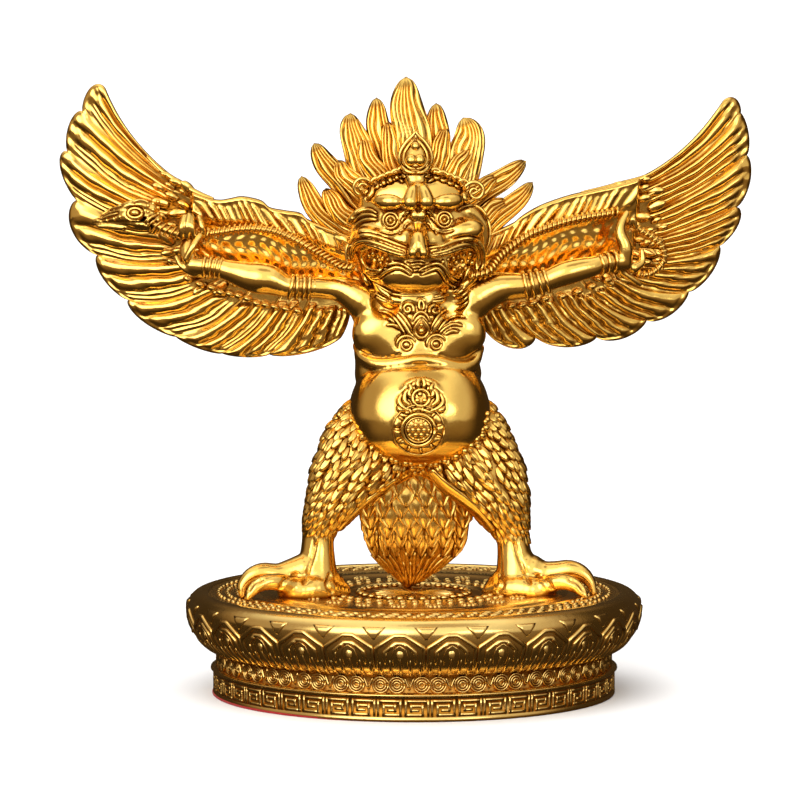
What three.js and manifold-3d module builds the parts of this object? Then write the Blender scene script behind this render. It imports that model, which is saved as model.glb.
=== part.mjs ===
// A winged garuda figure standing on a round lotus plinth, with a thin pad under the plinth.
// Sizes are millimetres, +Z is up and the figure faces -Y. The origin is the middle of the underside.
// The plinth and the pad have sizes of their own. The figure's pose and carving are given in
// hundredths of the figure's height, measured from the top of the plinth.

import * as THREE from 'three';
import { mergeVertices } from 'three/addons/utils/BufferGeometryUtils.js';
import Module from 'manifold-3d';

const wasm = await Module();
wasm.setup();

// Pad.
const PAD_THICKNESS = 0.3;
const PAD_MARGIN = 0.2;
const PAD_SHIFT = 0.35;
const DRUM_SIDES = 48;

// Plinth, from the bottom up.
const FOOT_RADIUS = 26.6;
const FRET_BAND_HEIGHT = 3.0;
const LEDGE_HEIGHT = 0.35;
const LEDGE_STEP = 0.3;
const WAVE_BAND_HEIGHT = 2.15;
const WAVE_BAND_INSET = 0.6;
const NECK_INSET = 0.9;
const BOWL_HEIGHT = 6.8;
const BOWL_RADIUS = 30.1;
const SHOULDER_HEIGHT = 1.0;
const RIM_RADIUS = 29.2;
const RIM_WIDTH = 2.3;
const FIELD_DROP = 0.25;

// Lotus petals round the bowl.
const PETAL_COUNT = 28;
const PETAL_DEPTH = 0.7;
const PETAL_COLUMNS = 3;
const PETAL_TURN = 4.9;

// The bowl is widest at this share of its height. Its lower flank is a rounded quarter wave.
const WIDEST_SHARE = 2 / 3;
const FLANK_ROUNDNESS = 0.75;

// Figure.
const FIGURE_HEIGHT = 67.6;
const SHARE = FIGURE_HEIGHT / 100;

const FRET_TOP = PAD_THICKNESS + FRET_BAND_HEIGHT;
const LEDGE_TOP = FRET_TOP + LEDGE_HEIGHT;
const NECK_TOP = LEDGE_TOP + WAVE_BAND_HEIGHT;
const BOWL_TOP = NECK_TOP + BOWL_HEIGHT;
const PLINTH_TOP = BOWL_TOP + SHOULDER_HEIGHT;
const FIELD_RADIUS = RIM_RADIUS - RIM_WIDTH;
const FIELD_TOP = PLINTH_TOP - FIELD_DROP;

const FRONT = new THREE.Vector3(0, -1, 0);
const UP = new THREE.Vector3(0, 0, 1);
const FULL_TURN = 2 * Math.PI;
const SMALL = 1e-6;

const GOLD = new THREE.MeshStandardMaterial({ color: 0xd9a53a, roughness: 0.18, metalness: 1 });
const PLINTH_GOLD = new THREE.MeshStandardMaterial({ color: 0xcf9c35, roughness: 0.22, metalness: 1 });
const RED_FLOCK = new THREE.MeshStandardMaterial({ color: 0xb01818, roughness: 0.95, metalness: 0 });

// A point of the figure, given in hundredths of its height.
function at(x, y, z) {
  return new THREE.Vector3(x * SHARE, y * SHARE, FIELD_TOP + z * SHARE);
}

// A smooth curve through points of the figure.
function through(points) {
  return new THREE.CatmullRomCurve3(points.map((point) => at(...point)));
}

// Volume inside a closed indexed geometry, below zero where its faces point inward.
function signedVolume(shape) {
  const place = shape.getAttribute('position');
  const corners = [0, 1, 2].map(() => new THREE.Vector3());
  let volume = 0;
  for (let i = 0; i < shape.index.count; i += 3) {
    corners.forEach((corner, k) => corner.fromBufferAttribute(place, shape.index.getX(i + k)));
    volume += corners[0].dot(corners[1].cross(corners[2])) / 6;
  }
  return volume;
}

// A closed three.js geometry as a solid that can be joined and cut, its faces pointing out.
function solid(shape) {
  shape.deleteAttribute('normal');
  shape.deleteAttribute('uv');
  const merged = mergeVertices(shape);
  const triVerts = new Uint32Array(merged.index.array);
  if (signedVolume(merged) < 0) {
    triVerts.reverse();
  }
  return new wasm.Manifold(new wasm.Mesh({
    numProp: 3,
    vertProperties: new Float32Array(merged.getAttribute('position').array),
    triVerts,
  }));
}

function join(solids) {
  return solids.reduce((whole, piece) => whole.add(piece));
}

// The finished solid as a geometry with flat faces.
function geometry(body) {
  const mesh = body.getMesh();
  const shape = new THREE.BufferGeometry();
  shape.setAttribute('position', new THREE.BufferAttribute(mesh.vertProperties, mesh.numProp));
  shape.setIndex(new THREE.BufferAttribute(mesh.triVerts, 1));
  return shape;
}

// A closed limb along a curve, made from a sphere whose rows become the rings of the limb.
// size(t, turn) gives the half width and half depth in hundredths at the share t of the length.
// A quarter turn round the section is its front.
function limb(path, sides, rings, size, front = FRONT) {
  const shape = new THREE.SphereGeometry(1, sides, rings + 1);
  const place = shape.getAttribute('position');
  for (let row = 0; row <= rings + 1; row += 1) {
    const t = THREE.MathUtils.clamp((row - 1) / (rings - 1), 0, 1);
    const isPole = row === 0 || row === rings + 1;
    const along = path.getTangent(t);
    const across = new THREE.Vector3().crossVectors(front, along).normalize();
    const outward = new THREE.Vector3().crossVectors(along, across);
    for (let column = 0; column <= sides; column += 1) {
      const turn = ((column % sides) / sides) * FULL_TURN;
      const [width, depth] = isPole ? [0, 0] : size(t, turn);
      const point = path.getPoint(t)
        .addScaledVector(across, -Math.cos(turn) * width * SHARE)
        .addScaledVector(outward, Math.sin(turn) * depth * SHARE);
      place.setXYZ(row * (sides + 1) + column, point.x, point.y, point.z);
    }
  }
  return solid(shape);
}

// A limb with one ring at each station, a station being x, y, z, half width and half depth.
function body(stations, sides, front = FRONT) {
  const path = through(stations.map((station) => station.slice(0, 3)));
  const last = stations.length - 1;
  return limb(path, sides, stations.length, (t) => stations[Math.round(t * last)].slice(3), front);
}

// An oval lump, its half sizes in hundredths.
function lump([x, y, z], [wide, deep, tall], sides = 8, rows = 6) {
  const shape = new THREE.SphereGeometry(1, sides, rows);
  shape.rotateX(Math.PI / 2);
  shape.scale(wide * SHARE, deep * SHARE, tall * SHARE);
  const middle = at(x, y, z);
  shape.translate(middle.x, middle.y, middle.z);
  return solid(shape);
}

// A small pointed leaf, scale or knob that lies on a surface.
function leaf(middle, along, outward, [long, wide, thick]) {
  const shape = new THREE.OctahedronGeometry(1);
  const across = new THREE.Vector3().crossVectors(outward, along).normalize();
  const out = new THREE.Vector3().crossVectors(along, across).normalize();
  const frame = new THREE.Matrix4().makeBasis(
    across.multiplyScalar(wide * SHARE),
    along.clone().normalize().multiplyScalar(long * SHARE),
    out.multiplyScalar(thick * SHARE),
  );
  shape.applyMatrix4(frame.setPosition(middle));
  return solid(shape);
}

// A carved sheet, made from a thin box. place(u, v, isFront) gives the point for each vertex.
function sheet(columns, rows, place) {
  const shape = new THREE.BoxGeometry(1, 1, 1, columns, rows, 1);
  const spot = shape.getAttribute('position');
  for (let i = 0; i < spot.count; i += 1) {
    const point = place(spot.getX(i) + 0.5, spot.getY(i) + 0.5, spot.getZ(i) > 0);
    spot.setXYZ(i, point.x, point.y, point.z);
  }
  return solid(shape);
}

// Depth of the wings, which sweep back as they spread.
function sweep(x) {
  const rootDepth = 4.5;
  const tipDepth = 14.5;
  const span = 64;
  return rootDepth + (tipDepth - rootDepth) * (x / span) ** 2;
}

// Long flight feathers with a shorter row over them, fanned out so that their tips stand on a circle.
// Each feather takes three columns: the groove before it, its rib and its flank. A step down
// parts the shorter row from the flight feathers under it.
function featherFan({ side, reach, middle, first, last }) {
  const count = 9;
  const columns = count * 3;
  const relief = [0.3, 1, 0.7];
  const along = [0, 0.57, 0.61, 1];
  const height = [2.1, 2.3, 1.1, 0.6];
  const rows = along.length - 1;
  const top = THREE.MathUtils.degToRad(first);
  const fan = THREE.MathUtils.degToRad(first - last);
  const hinge = 30;
  const notch = 1.6;
  const covertDip = 0.05;
  const curve = 1.6;
  const backing = 0.9;
  const crowding = 0.03;
  const firstCut = 3.4;
  const cutFade = 12;
  const roots = new THREE.QuadraticBezierCurve(
    new THREE.Vector2(44, 79),
    new THREE.Vector2(38, 64),
    new THREE.Vector2(8, 57),
  );
  return sheet(columns, rows, (u, v, isFront) => {
    const column = Math.round(u * columns);
    const row = Math.round(v * rows);
    const phase = column % 3;
    const isEdge = column === 0 || column === columns;
    const turn = top - fan * (u - crowding * Math.sin(FULL_TURN * u));
    const cut = firstCut * Math.exp(-cutFade * u) + (phase === 0 && !isEdge ? notch : 0);
    const length = reach - cut;
    const root = roots.getPoint(u);
    const tip = new THREE.Vector2(hinge + length * Math.cos(turn), middle + length * Math.sin(turn));
    const isCovertTip = row === 1 || row === 2;
    const share = along[row] - (isCovertTip && phase === 0 ? covertDip : 0);
    const spot = root.clone().lerp(tip, share);
    const bow = curve * Math.sin(Math.PI * share);
    const chord = tip.clone().sub(root).normalize();
    spot.x += chord.y * bow;
    spot.y -= chord.x * bow;
    const front = isFront ? height[row] * relief[isEdge ? 0 : phase] : -backing;
    return at(side * spot.x, sweep(spot.x) - front, spot.y);
  });
}

// The flat of the wing between its upper edge and the arm, with small feathers in rows.
function wingArm({ side, lift }) {
  const top = new THREE.CatmullRomCurve3([
    new THREE.Vector3(7, 69, 0),
    new THREE.Vector3(15, 72, 0),
    new THREE.Vector3(28, 75.2 + lift, 0),
    new THREE.Vector3(41, 77.6 + lift, 0),
    new THREE.Vector3(49, 82, 0),
    new THREE.Vector3(53, 86, 0),
  ]);
  const columns = 8;
  const rows = 3;
  const rootWidth = 16;
  const tipWidth = 12;
  const slant = 2;
  const tuftHeight = 3.2;
  const gapHeight = 2.3;
  const backing = 1;
  return sheet(columns, rows, (u, v, isFront) => {
    const upper = top.getPoint(u);
    const column = Math.round(u * columns);
    const row = Math.round(v * rows);
    const drop = THREE.MathUtils.lerp(rootWidth, tipWidth, u) * (1 - v);
    const isTuft = (column + row) % 2 === 0;
    const front = isTuft ? tuftHeight : gapHeight;
    const depth = sweep(upper.x) - (isFront ? front : -backing);
    return at(side * (upper.x - slant * (1 - v)), depth, upper.y - drop);
  });
}

function wing(options) {
  return featherFan(options).add(wingArm(options));
}

// An arm held out sideways, with rings at the elbow and the wrist, and the hand that grips the snake.
function arm({ side, wristLift }) {
  const elbow = 24;
  const forearm = 14;
  const rise = (x, z) => z + wristLift * Math.max(x - elbow, 0) / forearm;
  const station = (x, y, z, radius) => [side * x, y, rise(x, z), radius, radius];
  const sleeve = body([
    station(5, 0, 56, 5),
    station(11.5, -1, 58.4, 4.2),
    station(16, -1.6, 59.4, 2.7),
    station(20.2, -2.1, 59.7, 2.1),
    station(20.5, -2.2, 59.7, 2.7),
    station(22, -2.2, 59.8, 2.7),
    station(22.3, -2.2, 59.8, 2.1),
    station(23.2, -2.3, 60, 2.1),
    station(23.5, -2.3, 60.1, 2.8),
    station(25, -2.3, 60.4, 2.8),
    station(25.3, -2.3, 60.5, 2.3),
    station(29, -2, 61.6, 2.85),
    station(36, -0.6, 63.3, 1.75),
    station(36.3, -0.5, 63.4, 2.4),
    station(39.4, 0, 64.1, 2.2),
    station(39.7, 0.1, 64.2, 1.6),
    station(42, 0.6, 64.7, 2),
    station(45, 1.2, 65.2, 1.7),
  ], 6);
  const finger = (x, z, length, reach) => body([
    station(x, 1, z, 0.9),
    station(x + reach * 0.4, 0.2, z + length * 0.5, 0.8),
    station(x + reach, 2.4, z + length, 0.7),
  ], 5);
  return join([
    sleeve,
    finger(42.4, 65, 5, -2.2),
    finger(44.6, 65.4, 5.6, -0.2),
  ]);
}

// A beaded snake that runs from the corner of the beak to the hand and beyond it.
function snake(points, beads) {
  const path = through(points);
  const thin = 0.95;
  const thick = 1.35;
  const rings = beads * 2 + 1;
  return limb(path, 5, rings, (t) => {
    const isBead = Math.round(t * (rings - 1)) % 2 === 1;
    const radius = isBead ? thick : thin;
    return [radius, radius];
  });
}

function leftSnake() {
  const rope = snake([
    [-10, -6.4, 64.4],
    [-13.5, -4.6, 64.2],
    [-16.8, -0.8, 66],
    [-20.4, 1.6, 67.7],
    [-26, 2.6, 69.6],
    [-33.7, 3.6, 70.4],
    [-40, 4, 69.6],
    [-45.7, 4, 69.3],
    [-48.7, 4, 70.6],
  ], 9);
  const head = body([
    [-47, 4, 70, 1.6, 1.6],
    [-50.5, 5, 72.6, 2.3, 2],
    [-54.2, 6, 74.4, 2.7, 2.2],
    [-57.5, 7, 74.4, 2, 1.8],
    [-63, 9.4, 73, 0.9, 1],
  ], 6);
  const eye = leaf(at(-54.6, 4, 75), UP, FRONT, [1.1, 1.1, 0.9]);
  return join([rope, head, eye]);
}

function rightSnake() {
  const rope = snake([
    [9.8, -6.4, 64.2],
    [13.3, -4.6, 63.8],
    [16.4, -0.8, 65.8],
    [19.6, 1.6, 68.1],
    [25, 2.6, 70.6],
    [31, 3.4, 72.5],
    [37.9, 4, 73.4],
    [41.6, 3.8, 72.1],
  ], 8);
  const tail = snake([
    [40.8, 3.8, 72.6],
    [44.6, 4, 69.9],
    [48, 5.4, 68.4],
    [49.4, 6.4, 66.2],
    [49, 6.4, 63.6],
    [46.4, 5.8, 61.4],
  ], 4);
  return join([rope, tail]);
}

// The mane of flames as one sheet, each tongue drawn by its angle from the middle and its reach.
const TONGUES = [
  [0, 18],
  [14, 24.2],
  [29, 24.8],
  [46, 20.5],
  [63.5, 22.9],
  [78.4, 23.8],
  [92.6, 28.6],
  [106.5, 25.4],
  [120, 24.6],
  [140, 24.2],
  [158, 23.9],
  [178, 18],
];

function flames() {
  const perTongue = 4;
  const columns = (TONGUES.length - 1) * perTongue;
  const middle = [0, 72];
  const rootRadius = 9;
  const outline = [0.81, 0.94, 1];
  const rootThickness = 1.6;
  const tipThickness = 0.5;
  const edgeRidge = 1;
  const depth = 2.5;
  const lean = 0.03;
  return sheet(columns, 2, (u, v, isFront) => {
    const place = u * (TONGUES.length - 1);
    const low = Math.min(Math.floor(place + SMALL), TONGUES.length - 2);
    const share = place - low;
    const near = Math.abs(share - 0.5) * 2;
    const angle = THREE.MathUtils.lerp(TONGUES[low][0], TONGUES[low + 1][0], share);
    const reach = THREE.MathUtils.lerp(TONGUES[low][1], TONGUES[low + 1][1], share);
    const radius = THREE.MathUtils.lerp(rootRadius, reach * outline[Math.round(near * 2)], v);
    const turn = THREE.MathUtils.degToRad(angle);
    const isRidge = near > 1 - SMALL;
    const thickness = THREE.MathUtils.lerp(rootThickness, tipThickness, v) + (isRidge ? edgeRidge : 0);
    const y = depth + radius * lean + (isFront ? -thickness : thickness);
    return at(middle[0] + radius * Math.cos(turn), y, middle[1] + radius * Math.sin(turn));
  });
}

// Head with brows, round eyes, hooked beak, jaw, ears and the jewel above the brow.
function head() {
  const skull = lump([-0.2, -2.8, 69.6], [13, 9.8, 12.2], 10, 7);
  const neck = body([[0, -1, 54, 9.5, 6.6], [0, -4, 61, 8.6, 8]], 8);
  const pairs = [-1, 1].flatMap((side) => [
    body([
      [side * 0.6, -12, 74.8, 1, 1],
      [side * 3.6, -12.4, 76.8, 1.7, 1.8],
      [side * 7.4, -10.8, 77.2, 1.6, 1.8],
      [side * 10.6, -7.6, 75.4, 1.1, 1.2],
    ], 5),
    leaf(at(side * 5.2, -11, 73.4), UP, FRONT, [2.6, 2.6, 2.2]),
    body([
      [side * 0.6, -13.2, 67.2, 1.4, 1.3],
      [side * 5.6, -11.8, 68.8, 1.1, 1.3],
      [side * 9.8, -9.4, 69.2, 1.1, 1.3],
      [side * 12.4, -6, 66.2, 1, 1.1],
    ], 5),
    leaf(at(side * 13, -3.6, 74), new THREE.Vector3(side * 0.3, 0, 1), FRONT, [4.6, 2, 2]),
    leaf(at(side * 10.2, -6.2, 79.4), UP, FRONT, [3, 3, 2.4]),
  ]);
  const jaw = body([
    [-7.6, -8.2, 62.6, 2, 2.6],
    [-0.2, -10.2, 62.8, 2.4, 2.8],
    [7.2, -8.2, 62.6, 2, 2.6],
  ], 6);
  const beak = body([
    [-0.2, -11.6, 75, 1.5, 1.2],
    [-0.2, -14.2, 71.2, 1.8, 1.7],
    [-0.2, -15.4, 67.4, 2, 1.8],
    [-0.2, -14.4, 63.8, 0.5, 0.6],
  ], 6);
  const jewel = body([
    [-0.4, -8, 79.4, 1.4, 1.4],
    [-0.4, -8.4, 84, 3.4, 1.8],
    [-0.4, -7.6, 87.2, 2.2, 1.4],
    [-0.4, -6.8, 90, 0.3, 0.3],
  ], 6);
  const stone = leaf(at(-0.4, -9.6, 84), UP, FRONT, [2, 2, 1.6]);
  const crown = body([
    [-10.6, -4.4, 76.8, 1.5, 1.5],
    [-0.4, -8.2, 80.2, 1.6, 1.6],
    [10, -4.4, 76.8, 1.5, 1.5],
  ], 5);
  return join([skull, neck, jaw, beak, jewel, stone, crown, ...pairs]);
}

// Chest, round belly and the jewelled pendant between the breasts.
function torso() {
  const trunk = body([
    [0.4, -1, 30, 10, 7],
    [0.4, -1.4, 37, 12.6, 8],
    [0.4, -1.4, 43, 12, 7.6],
    [0.4, -1.2, 49, 12.4, 7.6],
    [0.4, -0.8, 54.5, 12, 7],
    [0.3, -0.6, 59.5, 8.6, 5.4],
  ], 10);
  const belly = lump([0.6, -4.2, 35.6], [13.6, 11, 9.4], 12, 8);
  const breasts = [-1, 1].map((side) => lump([0.4 + side * 6, -4.8, 50], [6, 4.6, 4.4], 6, 5));
  const pendant = [
    leaf(at(0.9, -8.3, 52), UP, FRONT, [2.2, 1.5, 1.6]),
    ...[-1, 1].map((side) => leaf(at(0.9 + side * 3, -8.6, 49.4), UP, FRONT, [1.9, 1.9, 1.4])),
    ...[-1, 1].map((side) => {
      const along = new THREE.Vector3(side, 0, 0.5);
      return leaf(at(0.9 + side * 5, -8.4, 52.6), along, FRONT, [3.8, 1.1, 1.4]);
    }),
  ];
  return join([trunk, belly, ...breasts, ...pendant]);
}

// The wheel and the flaming jewel on the belly.
function emblem() {
  const tilt = 0.12;
  const sides = 12;
  const disc = (radius, y) => {
    const thickness = 1.6;
    const shape = new THREE.CylinderGeometry(radius * SHARE, radius * SHARE, thickness * SHARE, sides);
    shape.rotateX(tilt);
    const middle = at(-0.2, y, 33);
    shape.translate(middle.x, middle.y, middle.z);
    return solid(shape);
  };
  const wheel = disc(5, -15).subtract(disc(3.6, -16));
  const hub = leaf(at(-0.2, -15, 33), UP, FRONT, [2, 2, 1]);
  const fire = body([
    [-0.2, -14.2, 37, 2.2, 1.4],
    [-0.1, -14, 39.4, 3.3, 1.5],
    [0.1, -11.8, 43.6, 0.4, 0.6],
  ], 6);
  const jewel = leaf(at(-0.1, -15, 39.2), UP, FRONT, [1.9, 1.9, 1.3]);
  return join([wheel, hub, fire, jewel]);
}

// A row of beads that hangs below the belly.
function belt() {
  const path = through([
    [-13.6, -6, 34],
    [-11, -8.6, 29.4],
    [-7.4, -10.4, 26.8],
    [0.3, -11.4, 25],
    [8.4, -10.1, 26.8],
    [12.2, -7.6, 30.4],
    [14.6, -5.6, 34],
  ]);
  const beads = 8;
  const thin = 0.8;
  const thick = 1.3;
  const rings = beads * 2 + 1;
  return limb(path, 4, rings, (t) => {
    const radius = Math.round(t * (rings - 1)) % 2 === 1 ? thick : thin;
    return [radius, radius];
  });
}

// A limb covered in rows of pointed feathers. Each row flares out towards its lower edge, and the
// edge runs in a zigzag, whose points stand between the points of the row above.
function featheredLimb(stations, sides, rowCount, flare, point) {
  const path = through(stations.map((station) => station.slice(0, 3)));
  const rings = rowCount * 2 + 1;
  const last = stations.length - 1;
  const edgeShift = 0.75;
  const girth = (t) => {
    const low = Math.min(Math.floor(t * last), last - 1);
    const share = t * last - low;
    return [3, 4].map((i) => THREE.MathUtils.lerp(stations[low][i], stations[low + 1][i], share));
  };
  const shape = new THREE.SphereGeometry(1, sides, rings + 1);
  const spot = shape.getAttribute('position');
  for (let row = 0; row <= rings + 1; row += 1) {
    const ring = THREE.MathUtils.clamp(row - 1, 0, rings - 1);
    const isPole = row === 0 || row === rings + 1;
    const isEdge = ring % 2 === 1;
    const tier = Math.floor(ring / 2);
    for (let column = 0; column <= sides; column += 1) {
      const place = column % sides;
      const isPoint = (place + tier) % 2 === 0;
      const dip = isEdge && isPoint ? point : 0;
      const even = isEdge ? (ring + edgeShift) / (rings - 1) : ring / (rings - 1);
      const t = THREE.MathUtils.clamp(even + dip, 0, 1);
      const [width, depth] = isPole ? [0, 0] : girth(t).map((half) => half + (isEdge ? flare : 0));
      const turn = (place / sides) * FULL_TURN;
      const middle = path.getPoint(t);
      spot.setXYZ(
        row * (sides + 1) + column,
        middle.x + Math.cos(turn) * width * SHARE,
        middle.y + Math.sin(turn) * depth * SHARE,
        middle.z,
      );
    }
  }
  return solid(shape);
}

// A toe that arches up from the foot and comes down on its claw.
function toe(side, outX, outY, rise, reach) {
  const footX = 19;
  const footY = -5;
  const point = (share, z, radius) => [
    side * (footX + outX * share * reach),
    footY - outY * share * reach,
    z,
    radius,
    radius,
  ];
  return body([
    point(0, 2.4, 2.2),
    point(0.32, rise * 0.8, 2),
    point(0.66, rise, 1.7),
    point(0.92, rise * 0.6, 1.3),
    point(1, -0.5, 0.7),
  ], 5, UP);
}

// A thigh covered in feathers, a smooth shin, and a foot with three curled toes and a heel claw.
function leg(side) {
  const mirror = ([x, ...rest]) => [side * x, ...rest];
  const thigh = featheredLimb([
    [6, -1, 38, 6.6, 7],
    [9.3, -2.4, 32, 8.7, 8],
    [11.2, -3.4, 27, 9, 8.2],
    [12.6, -3.8, 22, 8.2, 6.8],
    [16, -3.8, 16.8, 5.4, 5],
    [18.8, -3.4, 11, 3.3, 3.4],
  ].map(mirror), 10, 5, 0.5, 0.06);
  const shin = body([
    [18.4, -3.4, 13, 3.2, 3.2],
    [19.1, -3.6, 8, 3, 3.1],
    [19.1, -4, 5, 3.1, 3.1],
    [19.2, -4.6, 2.4, 4.2, 4],
    [19, -4.8, -0.6, 5, 4.6],
  ].map(mirror), 8);
  const spur = body([
    [18, -3.4, 3, 1.8, 1.6],
    [15, -2.4, 1.6, 1.4, 1.2],
    [13.4, -2, -0.4, 0.7, 0.6],
  ].map(mirror), 5);
  return join([
    thigh,
    shin,
    toe(side, 1, 0.1, 5.2, 15.4),
    toe(side, 0.93, 0.36, 4, 15.8),
    toe(side, 0.5, 0.86, 2.8, 9.5),
    spur,
  ]);
}

// The tail fans out behind the legs and comes to a point on the plinth.
function tail() {
  return featheredLimb([
    [0.3, 2.6, 31, 8, 3],
    [0.6, 3.7, 22, 10, 2.8],
    [0.8, 5, 13, 11, 2.4],
    [0.5, 6.4, 6.6, 8.4, 2.1],
    [-0.6, 8.2, -0.6, 0.8, 1.2],
  ], 12, 5, 0.5, 0.07);
}

const LEFT = { side: -1, reach: 38.2, middle: 83.6, first: 27, last: -112, lift: 0, wristLift: 0 };
const RIGHT = { side: 1, reach: 36.9, middle: 83.4, first: 22, last: -116, lift: 1.4, wristLift: 1 };

// The whole casting, cut off flat where it stands on the plinth.
function figure() {
  const whole = join([
    torso(),
    head(),
    flames(),
    wing(LEFT),
    wing(RIGHT),
    arm(LEFT),
    arm(RIGHT),
    leftSnake(),
    rightSnake(),
    leg(-1),
    leg(1),
    tail(),
    belt(),
    emblem(),
  ]);
  const ground = new THREE.BoxGeometry(FIGURE_HEIGHT, FIGURE_HEIGHT, FIELD_TOP);
  ground.translate(0, 0, FIELD_TOP / 2);
  return whole.subtract(solid(ground));
}

// A ring-shaped solid turned round the upright axis from a profile of radius and height.
function turned(profile, sides) {
  const shape = new THREE.LatheGeometry(profile.map(([r, z]) => new THREE.Vector2(r, z)), sides);
  shape.rotateX(Math.PI / 2);
  return shape;
}

// Radius of the lotus bowl at a share of its height.
function bowlRadius(share) {
  const neck = FOOT_RADIUS - NECK_INSET;
  if (share <= WIDEST_SHARE) {
    const rise = Math.sin((share / WIDEST_SHARE) * Math.PI / 2) ** FLANK_ROUNDNESS;
    return neck + (BOWL_RADIUS - neck) * rise;
  }
  const rest = (share - WIDEST_SHARE) / (1 - WIDEST_SHARE);
  return THREE.MathUtils.lerp(BOWL_RADIUS, RIM_RADIUS, rest);
}

// The drum with its two bands, which are plain here.
function drum() {
  const waveRadius = FOOT_RADIUS - WAVE_BAND_INSET;
  const ledgeRadius = FOOT_RADIUS + LEDGE_STEP;
  return solid(turned([
    [0, PAD_THICKNESS],
    [FOOT_RADIUS, PAD_THICKNESS],
    [FOOT_RADIUS, FRET_TOP],
    [ledgeRadius, FRET_TOP],
    [ledgeRadius, LEDGE_TOP],
    [waveRadius, LEDGE_TOP],
    [waveRadius, NECK_TOP],
    [0, NECK_TOP],
  ], DRUM_SIDES));
}

// The lotus bowl, with a groove between each petal and the next.
function lotusBowl() {
  const rows = 3;
  const flank = [];
  for (let i = 0; i <= rows; i += 1) {
    const share = i / rows;
    flank.push([bowlRadius(share), NECK_TOP + share * BOWL_HEIGHT]);
  }
  const shape = turned([
    [0, NECK_TOP],
    ...flank,
    [RIM_RADIUS, PLINTH_TOP],
    [FIELD_RADIUS, PLINTH_TOP],
    [FIELD_RADIUS, FIELD_TOP],
    [0, FIELD_TOP],
  ], PETAL_COUNT * PETAL_COLUMNS);
  const place = shape.getAttribute('position');
  for (let i = 0; i < place.count; i += 1) {
    const x = place.getX(i);
    const y = place.getY(i);
    const share = (place.getZ(i) - NECK_TOP) / BOWL_HEIGHT;
    if (share > 0 && share < 1) {
      const phase = (Math.atan2(x, -y) / FULL_TURN) * PETAL_COUNT;
      const isGroove = Math.abs(phase - Math.round(phase)) * PETAL_COLUMNS < 0.5;
      const shrink = isGroove ? 1 - PETAL_DEPTH / Math.hypot(x, y) : 1;
      place.setX(i, x * shrink);
      place.setY(i, y * shrink);
    }
  }
  shape.rotateZ(THREE.MathUtils.degToRad(PETAL_TURN + 180 / PETAL_COUNT));
  return solid(shape);
}

function plinth() {
  return drum().add(lotusBowl());
}

function pad() {
  const radius = FOOT_RADIUS - PAD_MARGIN;
  const shape = new THREE.CylinderGeometry(radius, radius, PAD_THICKNESS, DRUM_SIDES);
  shape.rotateX(Math.PI / 2);
  shape.translate(-PAD_SHIFT, 0, PAD_THICKNESS / 2);
  return solid(shape);
}

function piece(name, made, material) {
  const mesh = new THREE.Mesh(geometry(made), material);
  mesh.name = name;
  return mesh;
}

const part = new THREE.Group();
part.add(piece('figure', figure(), GOLD));
part.add(piece('plinth', plinth(), PLINTH_GOLD));
part.add(piece('base_pad', pad(), RED_FLOCK));

export default part;
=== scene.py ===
"""The carved surfaces, finishes, light and camera of a gilt garuda figure on a lotus plinth."""

import logging
import math
from dataclasses import dataclass
from enum import Enum
from typing import Any, Callable, Sequence

import bpy
import numpy as np
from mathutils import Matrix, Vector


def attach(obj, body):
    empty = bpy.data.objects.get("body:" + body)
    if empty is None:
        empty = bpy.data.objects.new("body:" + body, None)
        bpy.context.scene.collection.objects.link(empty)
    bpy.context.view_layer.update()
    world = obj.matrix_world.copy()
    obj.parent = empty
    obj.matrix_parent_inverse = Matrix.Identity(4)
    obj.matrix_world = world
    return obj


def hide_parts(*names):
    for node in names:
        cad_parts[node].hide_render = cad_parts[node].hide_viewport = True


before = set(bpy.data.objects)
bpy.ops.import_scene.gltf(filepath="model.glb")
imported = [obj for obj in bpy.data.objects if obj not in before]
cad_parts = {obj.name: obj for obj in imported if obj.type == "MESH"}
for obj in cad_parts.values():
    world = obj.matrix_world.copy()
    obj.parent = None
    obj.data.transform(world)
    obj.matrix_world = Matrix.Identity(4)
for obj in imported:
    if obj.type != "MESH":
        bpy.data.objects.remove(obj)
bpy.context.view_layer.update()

Array = np.ndarray
Pair = tuple[float, float]
Triple = tuple[float, float, float]
Knot = tuple[float, float, float, float]
Line = Sequence[Pair]
Steps = tuple[tuple[Any, ...], ...]

MM = 0.001
FULL_TURN = 2 * math.pi
TINY = 1e-9
UP = np.array([0.0, 0.0, 1.0])
FRONT = np.array([0.0, -1.0, 0.0])
NO_FACES = np.zeros((0, 3), int)
log = logging.getLogger("garuda")


class Solid(Enum):
    """The solids that the pieces stand for: the node, and the material slot of its finish."""

    FIGURE = ("figure", "gilt_figure")
    PLINTH = ("plinth", "gilt_plinth")
    PAD = ("base_pad", "red_flock")


def unit(vectors: Array) -> Array:
    """Vectors along the last axis, each made one long."""
    return vectors / np.maximum(np.linalg.norm(vectors, axis=-1, keepdims=True), TINY)


def ease(values: Array, low: float, high: float) -> Array:
    """A smooth rise from 0 at low to 1 at high."""
    t = np.clip((values - low) / (high - low), 0, 1)
    return t * t * (3 - 2 * t)


def mound(values: Array, middle: float, half: float) -> Array:
    """A rounded bump, 1 at the middle and 0 beyond the half width."""
    return np.sqrt(np.clip(1 - ((values - middle) / half) ** 2, 0, 1))


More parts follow.
